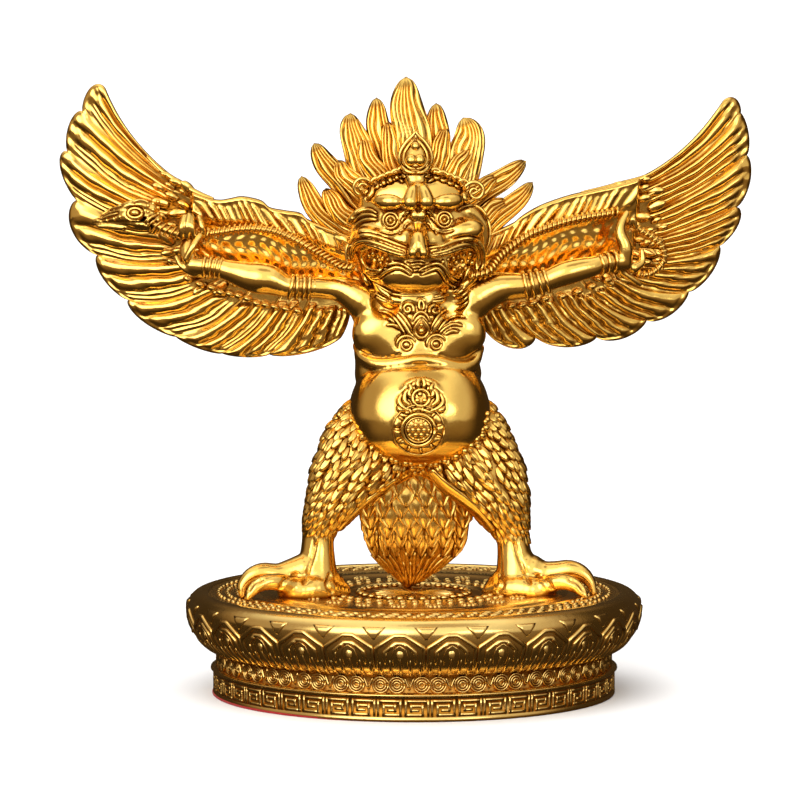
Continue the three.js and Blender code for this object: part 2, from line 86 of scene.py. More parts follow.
def curve(points: Sequence[Sequence[float]] | Array, count: int) -> Array:
    """Points at even steps on a smooth curve.

    Args:
        points: The points that the curve goes through, with any number of columns.
        count: How many points to give.

    Returns:
        An array with count rows.
    """
    given = np.asarray(points, float)
    padded = np.vstack([2 * given[0] - given[1], given, 2 * given[-1] - given[-2]])
    place = np.linspace(0, len(given) - 1, count)
    low = np.minimum(place.astype(int), len(given) - 2)
    t = (place - low)[:, None]
    a, b, c, d = (padded[low + k] for k in range(4))
    return 0.5 * (2 * b + (c - a) * t + (2 * a - 5 * b + 4 * c - d) * t**2 + (3 * b - a - 3 * c + d) * t**3)


@dataclass(frozen=True)
class Eye:
    """Where the photograph was taken from. Lengths are millimetres and pixels are the photograph's."""

    distance: float = 700.0
    height: float = 105.6
    azimuth: float = math.radians(-4.5)
    look: Triple = (-1.85, 0.0, 38.8)
    focal: float = 5335.0
    centre: float = 400.0
    sensor: float = 36.0

    def place(self) -> Array:
        """The camera's place."""
        away = self.distance
        return np.array([away * math.sin(self.azimuth), -away * math.cos(self.azimuth), self.height])

    def axes(self) -> tuple[Array, Array, Array]:
        """The directions to the right, up and ahead."""
        ahead = unit(np.array(self.look) - self.place())
        right = unit(np.cross(ahead, UP))
        return right, np.cross(right, ahead), ahead

    def at(self, column: Any, row: Any, depth: Any) -> Array:
        """The points seen at pixels, on upright planes at the given depths."""
        right, above, ahead = self.axes()
        column, row, depth = np.broadcast_arrays(np.asarray(column, float), row, depth)
        aim = ahead + np.multiply.outer((column - self.centre) / self.focal, right)
        aim = aim - np.multiply.outer((row - self.centre) / self.focal, above)
        reach = (depth - self.place()[1]) / aim[..., 1]
        return self.place() + reach[..., None] * aim

    def spot(self, places: Sequence[Triple] | Array) -> Array:
        """Points given as pixel column, pixel row and depth."""
        given = np.asarray(places, float)
        return self.at(given[..., 0], given[..., 1], given[..., 2])


EYE = Eye()
PIXEL = EYE.distance / EYE.focal


@dataclass(frozen=True)
class Form:
    """A closed shape: points in millimetres, and faces of four and three corners."""

    points: Array
    quads: Array
    triangles: Array

    def outward(self) -> "Form":
        """The same shape with its faces turned outward."""
        corners = self.points[np.vstack([self.triangles, self.quads[:, :3], self.quads[:, [0, 2, 3]]])]
        middle = self.points.mean(0)
        a, b, c = (corners[:, k] - middle for k in range(3))
        if np.einsum("ij,ij->", a, np.cross(b, c)) >= 0:
            return self
        return Form(self.points, self.quads[:, ::-1], self.triangles[:, ::-1])

    def moved(self, points: Array) -> "Form":
        """The same faces on other points."""
        return Form(points, self.quads, self.triangles)


def net(rows: int, columns: int, wrap: bool) -> Array:
    """The faces of a net of points, which may close on itself across its columns."""
    i = np.arange(rows - 1)[:, None] * columns
    j = np.arange(columns if wrap else columns - 1)[None]
    k = (j + 1) % columns
    return np.stack([i + j, i + k, i + columns + k, i + columns + j], -1).reshape(-1, 4)


def tube(rings: Array, first: Array | None = None, last: Array | None = None) -> Form:
    """A closed form from rings of points.

    Args:
        rings: The points, by ring and then round the ring.
        first: The point that closes the first ring, or None for the ring's middle.
        last: The point that closes the last ring, or None for the ring's middle.

    Returns:
        The closed form.
    """
    rows, columns = rings.shape[:2]
    ends = [rings[0].mean(0) if first is None else first, rings[-1].mean(0) if last is None else last]
    total = rows * columns
    j = np.arange(columns)
    k = (j + 1) % columns
    low = np.stack([np.full(columns, total), k, j], -1)
    high = np.stack([np.full(columns, total + 1), total - columns + j, total - columns + k], -1)
    points = np.vstack([rings.reshape(-1, 3), ends])
    return Form(points, net(rows, columns, True), np.vstack([low, high])).outward()


def slab(front: Array, back: Array) -> Form:
    """A closed sheet from two nets of points that face each other."""
    rows, columns = front.shape[:2]
    total = rows * columns
    quads = net(rows, columns, False)
    grid = np.arange(total).reshape(rows, columns)
    rim = np.concatenate([grid[0], grid[1:, -1], grid[-1, -2::-1], grid[-2:0:-1, 0]])
    after = np.roll(rim, -1)
    edge = np.stack([after, rim, rim + total, after + total], -1)
    points = np.vstack([front.reshape(-1, 3), back.reshape(-1, 3)])
    return Form(points, np.vstack([quads, quads[:, ::-1] + total, edge]), NO_FACES).outward()


def ball(columns: int = 10, rows: int = 6) -> Form:
    """A round form of radius 1."""
    turn = np.arange(columns) / columns * FULL_TURN
    rise = np.linspace(0, math.pi, rows + 1)[1:-1, None]
    level = np.cos(rise) + 0 * turn
    rings = np.stack([np.sin(rise) * np.cos(turn), np.sin(rise) * np.sin(turn), level], -1)
    return tube(rings, UP, -UP)


def follow(path: Array, front: Array = FRONT) -> tuple[Array, Array, Array]:
    """The directions along, across and out of a path whose outer side is kept to the front."""
    along = unit(np.gradient(path, axis=0))
    across = unit(np.cross(front, along))
    return along, across, np.cross(along, across)


def rope(path: Array, wide: Any, deep: Any = None, sides: int = 10, front: Array = FRONT) -> Form:
    """A closed limb along a path.

    Args:
        path: The points of its middle line.
        wide: The half width at each point, or one for all.
        deep: The half depth, or None where it is round.
        sides: How many points go round it.
        front: The direction that its outer side faces.

    Returns:
        The closed form.
    """
    _, across, out = follow(path, front)
    wide = np.broadcast_to(wide, len(path))[:, None, None]
    deep = wide if deep is None else np.broadcast_to(deep, len(path))[:, None, None]
    turn = (np.arange(sides) / sides * FULL_TURN)[None, :, None]
    rings = path[:, None] + np.cos(turn) * wide * across[:, None] + np.sin(turn) * deep * out[:, None]
    return tube(rings, path[0], path[-1])


def stamp(form: Form, places: Array, frames: Array) -> Form:
    """Copies of a form.

    Args:
        form: The form to repeat.
        places: Where each copy goes.
        frames: For each copy, the vectors that its x, y and z axes become.

    Returns:
        All the copies as one form.
    """
    many = len(places)
    points = places[:, None] + np.einsum("pk,nkj->npj", form.points, frames)
    shift = (np.arange(many) * len(form.points))[:, None, None]
    flip = slice(None, None, -1) if np.linalg.det(frames[0]) < 0 else slice(None)
    quads = (form.quads[None, :, flip] + shift).reshape(-1, 4)
    triangles = (form.triangles[None, :, flip] + shift).reshape(-1, 3)
    return Form(points.reshape(-1, 3), quads, triangles)


def laid(along: Array, out: Array, long: Any, wide: Any, thick: Any) -> Array:
    """Frames for copies that lie on a surface.

    Args:
        along: The direction that each copy's y axis takes.
        out: The direction away from the surface.
        long: The size along.
        wide: The size across.
        thick: The size away from the surface.

    Returns:
        One frame for each copy.
    """
    along, out = np.broadcast_arrays(unit(along), out)
    across = unit(np.cross(along, out))
    out = np.cross(across, along)
    sizes = [np.broadcast_to(size, len(along))[:, None] for size in (wide, long, thick)]
    return np.stack([across * sizes[0], along * sizes[1], out * sizes[2]], 1)


def plume(rows: int = 8, columns: int = 6, ridge: float = 0.35, barbs: float = 0.0) -> Form:
    """A small pointed feather one long and one wide each way from its middle line, lying on its underside.

    Args:
        rows: How many steps along it.
        columns: How many steps across it.
        ridge: How far its middle line stands over its sides.
        barbs: How deep the lines beside its middle line are.

    Returns:
        The closed form, with its root at y = -1 and its tip at y = 1.
    """
    v = np.linspace(0, 1, rows + 1)[:, None]
    w = np.linspace(-1, 1, columns + 1)[None]
    half = np.sin(math.pi * np.clip(0.12 + 0.88 * v, 0, 1)) ** 0.55 * (0.75 + 0.25 * v)
    half[-1] = 0.02
    crown = (1 - w**2) ** 0.5 * (1 - ridge) + ridge * np.clip(1 - np.abs(w) * 3.4, 0, 1)
    crown = crown - barbs * (np.cos(w * math.pi * 3) < 0) * (np.abs(w) < 0.99)
    lift = (0.25 + 0.75 * ease(v, 0, 0.6)) * (0.35 + 0.65 * (1 - ease(v, 0.75, 1.15)))
    top = np.stack([w * half, 2 * v - 1 + 0 * w, crown * lift], -1)
    floor = np.stack([w * half, 2 * v - 1 + 0 * w, -0.45 + 0 * w * v], -1)
    return slab(top, floor)


class Casting:
    """Closed forms that are gathered into one piece."""

    def __init__(self, name: str) -> None:
        """Starts an empty piece."""
        self.name = name
        self.forms: list[Form] = []

    def add(self, *forms: Form) -> None:
        """Adds forms to the piece."""
        self.forms.extend(forms)

    def whole(self) -> Form:
        """All its forms as one."""
        starts = np.cumsum([0] + [len(form.points) for form in self.forms])
        return Form(
            np.vstack([form.points for form in self.forms]),
            np.vstack([form.quads + start for form, start in zip(self.forms, starts)]),
            np.vstack([form.triangles + start for form, start in zip(self.forms, starts)]),
        )

    def finish(self, material: bpy.types.Material, solid: Solid = Solid.FIGURE) -> None:
        """Makes the piece, dresses it and hides the part that it stands for."""
        node, slot = solid.value
        form = self.whole()
        sides = np.repeat([4, 3], [len(form.quads), len(form.triangles)])
        corners = np.concatenate([form.quads.ravel(), form.triangles.ravel()])
        mesh = bpy.data.meshes.new(self.name)
        mesh.vertices.add(len(form.points))
        mesh.vertices.foreach_set("co", (form.points * MM).astype(np.float32).ravel())
        mesh.loops.add(len(corners))
        mesh.loops.foreach_set("vertex_index", corners.astype(np.int32))
        mesh.polygons.add(len(sides))
        mesh.polygons.foreach_set("loop_start", (np.cumsum(sides) - sides).astype(np.int32))
        mesh.polygons.foreach_set("use_smooth", np.ones(len(sides), bool))
        mesh.update(calc_edges=True)
        mesh.validate()
        mesh.materials.append(material)
        piece = bpy.data.objects.new(self.name, mesh)
        bpy.context.scene.collection.objects.link(piece)
        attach(piece, "root")
        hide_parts(node)
        log.info("%s: %d triangles", self.name, 2 * len(form.quads) + len(form.triangles))


class Clay:
    """A block of small cells in which rounded forms are blended together and cut away."""

    EMPTY = 3.0
    FAR = 9.0

    def __init__(self, low: Triple, high: Triple, step: float) -> None:
        """Starts an empty block between two corners."""
        self.step = step
        self.low = np.array(low, float)
        count = np.ceil((np.array(high) - self.low) / step).astype(int) + 1
        self.axes = [self.low[k] + np.arange(count[k]) * step for k in range(3)]
        self.values = np.full(count, self.EMPTY, np.float32)

    def window(self, low: Array, high: Array) -> tuple[tuple[slice, ...], Array]:
        """The part of the block near a form, as slices and the places of its cells."""
        first, last = (((corner - self.low) / self.step).astype(int) for corner in (low, high))
        ranges = [slice(max(0, a), b + 2) for a, b in zip(first, last)]
        grid = np.meshgrid(*(axis[r] for axis, r in zip(self.axes, ranges)), indexing="ij")
        return tuple(ranges), np.stack(grid, -1)

    def blend(self, part: tuple[slice, ...], distance: Array, soft: float, cut: bool) -> None:
        """Joins or cuts a form, given by its distances, with a soft edge."""
        here = self.values[part]
        other = -distance if cut else distance
        h = np.clip(soft - np.abs(here - other), 0, None) / max(soft, TINY)
        edge = h * h * soft / 4
        self.values[part] = np.maximum(here, other) + edge if cut else np.minimum(here, other) - edge

    def oval(
        self, middle: Array, radii: Triple, soft: float = 0.4, axes: Array | None = None, cut: bool = False,
        full: float = 2.0,
    ) -> None:
        """Blends in an oval.

        Args:
            middle: Its middle.
            radii: Its three radii.
            soft: How far its edge melts into what is there.
            axes: Its three directions, or None where they are the block's own.
            cut: Whether it is cut away.
            full: How full its corners are, from 2 where it is a plain oval.
        """
        reach = max(radii) + soft + 2 * self.step
        part, cells = self.window(middle - reach, middle + reach)
        local = cells - middle
        if axes is not None:
            local = local @ axes.T
        share = np.abs(local / radii)
        a = np.maximum((share**full).sum(-1) ** (1 / full), TINY)
        slope = np.linalg.norm(share ** (full - 1) / radii, axis=-1) / a ** (full - 1)
        self.blend(part, (a - 1) / np.maximum(slope, TINY), soft, cut)

    def chain(self, path: Array, radii: Any, soft: float = 0.4, cut: bool = False, flat: float = 1.0) -> None:
        """Blends in a rounded cord along a path.

        Args:
            path: The points of its middle line.
            radii: Its radius at each point, or one for all.
            soft: How far its edge melts into what is there.
            cut: Whether it is cut away.
            flat: Its depth as a share of its height.
        """
        radii = np.broadcast_to(radii, len(path))
        squash = np.array([1, 1 / flat, 1])
        reach = radii.max() * max(1, flat) + soft + 2 * self.step
        part, cells = self.window(path.min(0) - reach, path.max(0) + reach)
        best = np.full(cells.shape[:3], self.FAR)
        for a, b, ra, rb in zip(path[:-1], path[1:], radii[:-1], radii[1:]):
            span = (b - a) * squash
            local = (cells - a) * squash
            t = np.clip((local @ span) / max(span @ span, TINY), 0, 1)
            away = np.linalg.norm(local - t[..., None] * span, axis=-1) - (ra + t * (rb - ra))
            best = np.minimum(best, away)
        self.blend(part, best, soft, cut)

    def form(self) -> Form:
        """The surface of what is in the block, with even small faces."""
        values = self.values
        inside = values < 0
        shape = np.array(values.shape)
        strides = np.array([shape[1] * shape[2], shape[2], 1])
        cells: list[Array] = []
        places: list[Array] = []
        faces: list[Array] = []
        for axis in range(3):
            first = [slice(None)] * 3
            second = [slice(None)] * 3
            first[axis], second[axis] = slice(None, -1), slice(1, None)
            crossing = inside[tuple(first)] != inside[tuple(second)]
            at = np.stack(np.nonzero(crossing), -1)
            v0 = values[tuple(at.T)]
            end = at.copy()
            end[:, axis] += 1
            v1 = values[tuple(end.T)]
            place = at.astype(float)
            place[:, axis] += v0 / (v0 - v1)
            u, w = (axis + 1) % 3, (axis + 2) % 3
            base = at @ strides
            corner = [base, base - strides[u], base - strides[u] - strides[w], base - strides[w]]
            quad = np.stack(corner, -1)
            quad[v0 > 0] = quad[v0 > 0][:, ::-1]
            faces.append(quad)
            cells.extend(corner)
            places.extend([place] * 4)
        names, index = np.unique(np.concatenate(cells), return_inverse=True)
        spots = np.concatenate(places)
        count = np.bincount(index)
        sums = np.stack([np.bincount(index, spots[:, k]) / count for k in range(3)], -1)
        quads = np.searchsorted(names, np.concatenate(faces))
        return Form(self.low + sums * self.step, quads, NO_FACES).outward()

    def value(self, points: Array) -> Array:
        """The distances held at points, read between the cells."""
        place = (points - self.low) / self.step
        base = np.clip(place.astype(int), 0, np.array(self.values.shape) - 2)
        share = np.clip(place - base, 0, 1)
        total = np.zeros(points.shape[:-1])
        for corner in np.ndindex(2, 2, 2):
            at = base + corner
            weight = np.prod(np.where(corner, share, 1 - share), -1)
            total += weight * self.values[at[..., 0], at[..., 1], at[..., 2]]
        return total

    def face(self, pixels: Array, over: float = 0.0, behind: bool = False) -> Array:
        """Points of the surface, moved outward.

        Args:
            pixels: The pixels of the photograph that they are seen at.
            over: How far they are moved.
            behind: Whether they lie on the far side.

        Returns:
            The points.
        """
        given = np.asarray(pixels, float)
        way = -1 if behind else 1
        depth = np.arange(self.axes[1][0], self.axes[1][-1], self.step / 2)[::way]
        held = self.value(EYE.at(given[:, :1], given[:, 1:], depth[None]))
        found = (held < 0).any(1)
        first = np.where(found, (held < 0).argmax(1), len(depth) // 2)
        row = np.arange(len(given))
        after, before = held[row, first], held[row, np.maximum(first - 1, 0)]
        back = np.where(found, after / np.minimum(after - before, -TINY), 0)
        depth = depth[first] - way * (np.clip(back, 0, 1) * self.step / 2 + over)
        return EYE.at(given[:, 0], given[:, 1], depth)


def tapered(count: int, low: float = 0.25) -> Array:
    """Shares that rise quickly from both ends of a stroke to 1 in its middle."""
    return low + (1 - low) * np.sin(math.pi * np.linspace(0, 1, count)) ** 0.5


def hoop(middle: Array, axis: Array, radius: float, thick: float, steps: int = 30, sides: int = 8) -> Form:
    """A closed ring.

    Args:
        middle: Its middle.
        axis: The direction that it goes round.
        radius: The radius of its middle line.
        thick: The radius of its section.
        steps: How many sections it has.
        sides: How many points go round each.

    Returns:
        The ring.
    """
    axis = unit(axis)
    first = unit(np.cross(axis, UP))
    turn = (np.arange(steps) / steps * FULL_TURN)[:, None, None]
    bend = (np.arange(sides) / sides * FULL_TURN)[None, :, None]
    away = np.cos(turn) * first + np.sin(turn) * np.cross(axis, first)
    points = middle + (radius + thick * np.cos(bend)) * away + thick * np.sin(bend) * axis
    i = np.arange(steps)[:, None] * sides
    j = np.arange(sides)[None]
    k = (j + 1) % sides
    after = (i + sides) % (steps * sides)
    quads = np.stack([i + j, i + k, after + k, after + j], -1).reshape(-1, 4)
    return Form(points.reshape(-1, 3), quads, NO_FACES).outward()


class Carver:
    """Carves a clay form as it is seen in the photograph.

    Places are pixels and depths, and sizes are millimetres. Raised lines lie in shallow beds cut for them.
    """

    BED_SOFT = 0.08
    WOUND = 0.85
    THINNED = 0.35
    PROUD = 0.05

    def __init__(self, name: str, low: Triple, high: Triple, step: float) -> None:
        """Starts an empty block between two corners."""
        self.clay = Clay(low, high, step)
        self.made = Casting(name)
        self.bed = 0.15
        self.behind = False

    def mass(
        self, place: Triple, radii: Triple, soft: float = 0.4, turn: float = 0.0, cut: bool = False,
        full: float = 2.0,
    ) -> None:
        """Blends in an oval.

        Args:
            place: Its middle.
            radii: Its radii across, in depth and up.
            soft: How far its edge melts into what is there.
            turn: How far it is turned in the picture, in degrees.
            cut: Whether it is cut away.
            full: How full its corners are, from 2 where it is a plain oval.
        """
        c, s = math.cos(math.radians(turn)), math.sin(math.radians(turn))
        axes = np.array([[c, 0, s], [0, 1, 0], [-s, 0, c]])
        self.clay.oval(EYE.spot(place), radii, soft, axes, cut, full)

    def cord(
        self, places: Sequence[Sequence[float]], soft: float = 0.4, cut: bool = False, flat: float = 1.0,
    ) -> None:
        """Blends in a rounded cord.

        Args:
            places: A pixel, a depth and a radius for each point that it goes through.
            soft: How far its edge melts into what is there.
            cut: Whether it is cut away.
            flat: Its depth as a share of its height.
        """
        line = curve(places, 4 * (len(places) - 1) + 1)
        self.clay.chain(EYE.spot(line[:, :3]), line[:, 3], soft, cut, flat)

    def work(self, steps: Steps) -> None:
        """Carries out steps in their order, each the name of one of these methods and what it is given."""
        for method, *values in steps:
            getattr(self, method)(*values)

    def groove(self, pixels: Line, radius: float, soft: float = 0.15) -> None:
        """Cuts a groove along a line of pixels."""
        line = curve(pixels, 3 * (len(pixels) - 1) + 1)
        self.clay.chain(self.clay.face(line, 0.0, self.behind), radius, soft, True)

    def lay(self, pixels: Array, radius: Any, over: float, sides: int = 6) -> None:
        """Lays a raised line along pixels, in a shallow bed cut for it."""
        path = self.clay.face(pixels, 0.0, self.behind)
        self.clay.chain(path, radius + self.bed, self.BED_SOFT, True)
        out = -FRONT if self.behind else FRONT
        self.made.add(rope(path + out * over, radius, sides=sides, front=out))

    def stroke(self, pixels: Line, radius: float, over: float = 0.0, sides: int = 6) -> None:
        """Lays a raised stroke along a line of pixels."""
        count = 6 * (len(pixels) - 1) + 1
        self.lay(curve(pixels, count), radius * tapered(count), over, sides)

    def ring(self, middle: Pair, reach: Pair, radius: float, over: float = 0.0, sides: int = 6) -> None:
        """Lays a raised ring about a pixel, its reach in pixels across and down."""
        turn = np.linspace(0, FULL_TURN, 25)
        pixels = np.stack([middle[0] + reach[0] * np.cos(turn), middle[1] - reach[1] * np.sin(turn)], -1)
        self.lay(pixels, radius, over, sides)

    def spiral(self, middle: Pair, reach: float, start: float, turns: float, radius: float) -> None:
        """Lays a raised spiral about a pixel.

        Args:
            middle: The pixel that it winds to.
            reach: Its outer radius in pixels.
            start: Where its outer end lies, in degrees from the right.
            turns: How many times it goes round, less than 0 where it winds clockwise.
            radius: The stroke's own radius.
        """
        t = np.linspace(0, 1, int(26 * abs(turns)) + 2)
        angle = math.radians(start) + FULL_TURN * turns * t
        away = reach * (1 - self.WOUND * t)
        pixels = np.stack([middle[0] + away * np.cos(angle), middle[1] - away * np.sin(angle)], -1)
        self.lay(pixels, radius * (1 - self.THINNED * t), self.PROUD)

    def dots(self, pixels: Line | Array, radius: Any, over: float = 0.0) -> None:
        """Lays round beads at pixels."""
        self.made.add(beads(self.clay.face(np.asarray(pixels, float), over), radius, 1.0, 8, 5))

    def finish(self, material: bpy.types.Material) -> None:
        """Adds the clay's surface and makes the piece."""
        self.made.add(self.clay.form())
        self.made.finish(material)


class Wire:
    """A shader socket that can be reckoned with in plain expressions."""

    def __init__(self, bench: "Bench", socket: bpy.types.NodeSocket) -> None:
        """Wraps a socket of the material on the bench."""
        self.bench = bench
        self.socket = socket

    def _with(self, operation: str, *values: Any) -> "Wire":
        """The result of a sum on values."""
        return self.bench.node("ShaderNodeMath", {"operation": operation}, dict(enumerate(values)))

    def __add__(self, other: Any) -> "Wire":
        """This plus the other."""
        return self._with("ADD", self, other)

    __radd__ = __add__

    def __mul__(self, other: Any) -> "Wire":
        """This times the other."""
        return self._with("MULTIPLY", self, other)

    __rmul__ = __mul__

    def __sub__(self, other: Any) -> "Wire":
        """This less the other."""
        return self._with("SUBTRACT", self, other)

    def __rsub__(self, other: Any) -> "Wire":
        """The other less this."""
        return self._with("SUBTRACT", other, self)

    def between(self, low: float, high: float) -> "Wire":
        """A smooth rise from 0 at low to 1 at high."""
        inputs = {"Value": self, "From Min": low, "From Max": high}
        return self.bench.node("ShaderNodeMapRange", {"interpolation_type": "SMOOTHSTEP"}, inputs)


class Bench:
    """The node tree of one finish or of the surroundings."""

    def __init__(self, tree: bpy.types.NodeTree) -> None:
        """Clears the tree."""
        self.tree = tree
        tree.nodes.clear()

    def node(self, kind: str, settings: dict[str, Any], inputs: dict[Any, Any], output: Any = 0) -> Wire:
        """Adds a node.

        Args:
            kind: Its type.
            settings: Its own settings, which are set first.
            inputs: The value or wire of each socket, by name or number.
            output: The socket to give back, by name or number.

        Returns:
            The wire from its output.
        """
        node = self.tree.nodes.new(kind)
        for name, value in settings.items():
            setattr(node, name, value)
        for name, value in inputs.items():
            if isinstance(value, Wire):
                self.tree.links.new(value.socket, node.inputs[name])
            else:
                node.inputs[name].default_value = value
        return Wire(self, node.outputs[output]) if len(node.outputs) else Wire(self, node.inputs[0])

    def mix(self, share: Any, first: Any, second: Any) -> Wire:
        """A colour between two."""
        return self.node("ShaderNodeMix", {"data_type": "RGBA"}, {0: share, 6: first, 7: second}, 2)

    def noise(self, place: Wire, scale: float, detail: float = 2.0) -> Wire:
        """Soft noise from 0 to 1, its scale in cells a metre."""
        return self.node("ShaderNodeTexNoise", {}, {"Vector": place, "Scale": scale, "Detail": detail})


    def bump(self, strength: float, distance: float, height: Wire, normal: Wire | None = None) -> Wire:
        """A normal that is turned by a height.

        Args:
            strength: How much it is turned.
            distance: How high the height stands, in metres.
            height: The height from 0 to 1.
            normal: The normal that is turned, or None for the surface's own.

        Returns:
            The turned normal.
        """
        inputs = {"Strength": strength, "Distance": distance, "Height": height}
        if normal is not None:
            inputs["Normal"] = normal
        return self.node("ShaderNodeBump", {}, inputs)

    def shade(self, **inputs: Any) -> None:
        """Ends a finish with a shader, whose inputs are named with underscores for spaces."""
        named = {name.replace("_", " "): value for name, value in inputs.items()}
        shader = self.node("ShaderNodeBsdfPrincipled", {}, named)
        self.node("ShaderNodeOutputMaterial", {}, {"Surface": shader})


def colour(red: float, green: float, blue: float) -> tuple[float, float, float, float]:
    """A full colour value."""
    return (red, green, blue, 1.0)


def finish_bench(name: str) -> tuple[bpy.types.Material, Bench]:
    """A new material and the bench that it is built on."""
    made = bpy.data.materials.new(name)
    made.use_nodes = True
    return made, Bench(made.node_tree)


@dataclass(frozen=True)
class Gilding:
    """Polished gold plating whose colour is darkened with painted shade in the hollows, which are also
    duller. Lengths are metres.
    """

    name: str
    bright: Triple = (0.98, 0.62, 0.145)
    # deep: the painted shade colour that is mixed into the hollows
    deep: Triple = (0.36, 0.135, 0.008)
    worn: Triple = (0.92, 0.46, 0.07)
    polish: float = 0.12
    dull: float = 0.22
    # shelter: how far the ambient occlusion looks when it finds the painted shade
    painted_shade_reach: float = 0.0011
    edge_span: Pair = (0.44, 0.50)
    open_span: Pair = (0.30, 0.86)
    patch: float = 260.0
    patch_span: Pair = (0.35, 0.75)
    patch_share: float = 0.2
    patch_dull: float = 0.07
    dimple: float = 1100.0
    dimple_height: float = 0.00003
    dimple_strength: float = 0.5
    grain: float = 5200.0
    grain_height: float = 0.000008
    grain_strength: float = 0.35

    def make(self) -> bpy.types.Material:
        """The material."""
        made, bench = finish_bench(self.name)
        place = bench.node("ShaderNodeTexCoord", {}, {}, "Object")
        edge = bench.node("ShaderNodeNewGeometry", {}, {}, "Pointiness")
        open_sky = bench.node("ShaderNodeAmbientOcclusion", {"samples": 6}, {"Distance": self.painted_shade_reach}, "AO")
        # Painted shade: ambient occlusion and pointiness make a mask that is 1 in the hollows where shade
        # falls. It darkens the colour there and also dulls the surface.
        shade_and_dull_mask = 1 - edge.between(*self.edge_span) * open_sky.between(*self.open_span)
        patches = bench.noise(place, self.patch, 3.0)
        # Painted shade: the colour goes from bright to the deep shade colour in the hollows.
        tone = bench.mix(shade_and_dull_mask, colour(*self.bright), colour(*self.deep))
        worn = bench.mix(patches.between(*self.patch_span) * self.patch_share, tone, colour(*self.worn))
        rough = shade_and_dull_mask * self.dull + patches * self.patch_dull + self.polish
        wavy = bench.bump(self.dimple_strength, self.dimple_height, bench.noise(place, self.dimple, 3.0))
        bump = bench.bump(self.grain_strength, self.grain_height, bench.noise(place, self.grain), wavy)
        bench.shade(Base_Color=worn, Roughness=rough, Metallic=1.0, Normal=bump)
        return made


@dataclass(frozen=True)
class Flock:
    """Short matt red flock. Lengths are metres."""

    name: str = "red_flock"
    pale: Triple = (0.42, 0.012, 0.012)
    dark: Triple = (0.20, 0.004, 0.005)
    pile: float = 9000.0
    pile_span: Pair = (0.3, 0.7)
    pile_height: float = 0.00005
    pile_strength: float = 0.6
    roughness: float = 0.95
    sheen: float = 0.1

    def make(self) -> bpy.types.Material:
        """The material."""
        made, bench = finish_bench(self.name)
        place = bench.node("ShaderNodeTexCoord", {}, {}, "Object")
        pile = bench.noise(place, self.pile, 3.0)
        tone = bench.mix(pile.between(*self.pile_span), colour(*self.dark), colour(*self.pale))
        bump = bench.bump(self.pile_strength, self.pile_height, pile)
        bench.shade(Base_Color=tone, Roughness=self.roughness, Sheen_Weight=self.sheen, Normal=bump)
        return made


Lobe = tuple[Triple, float, float]


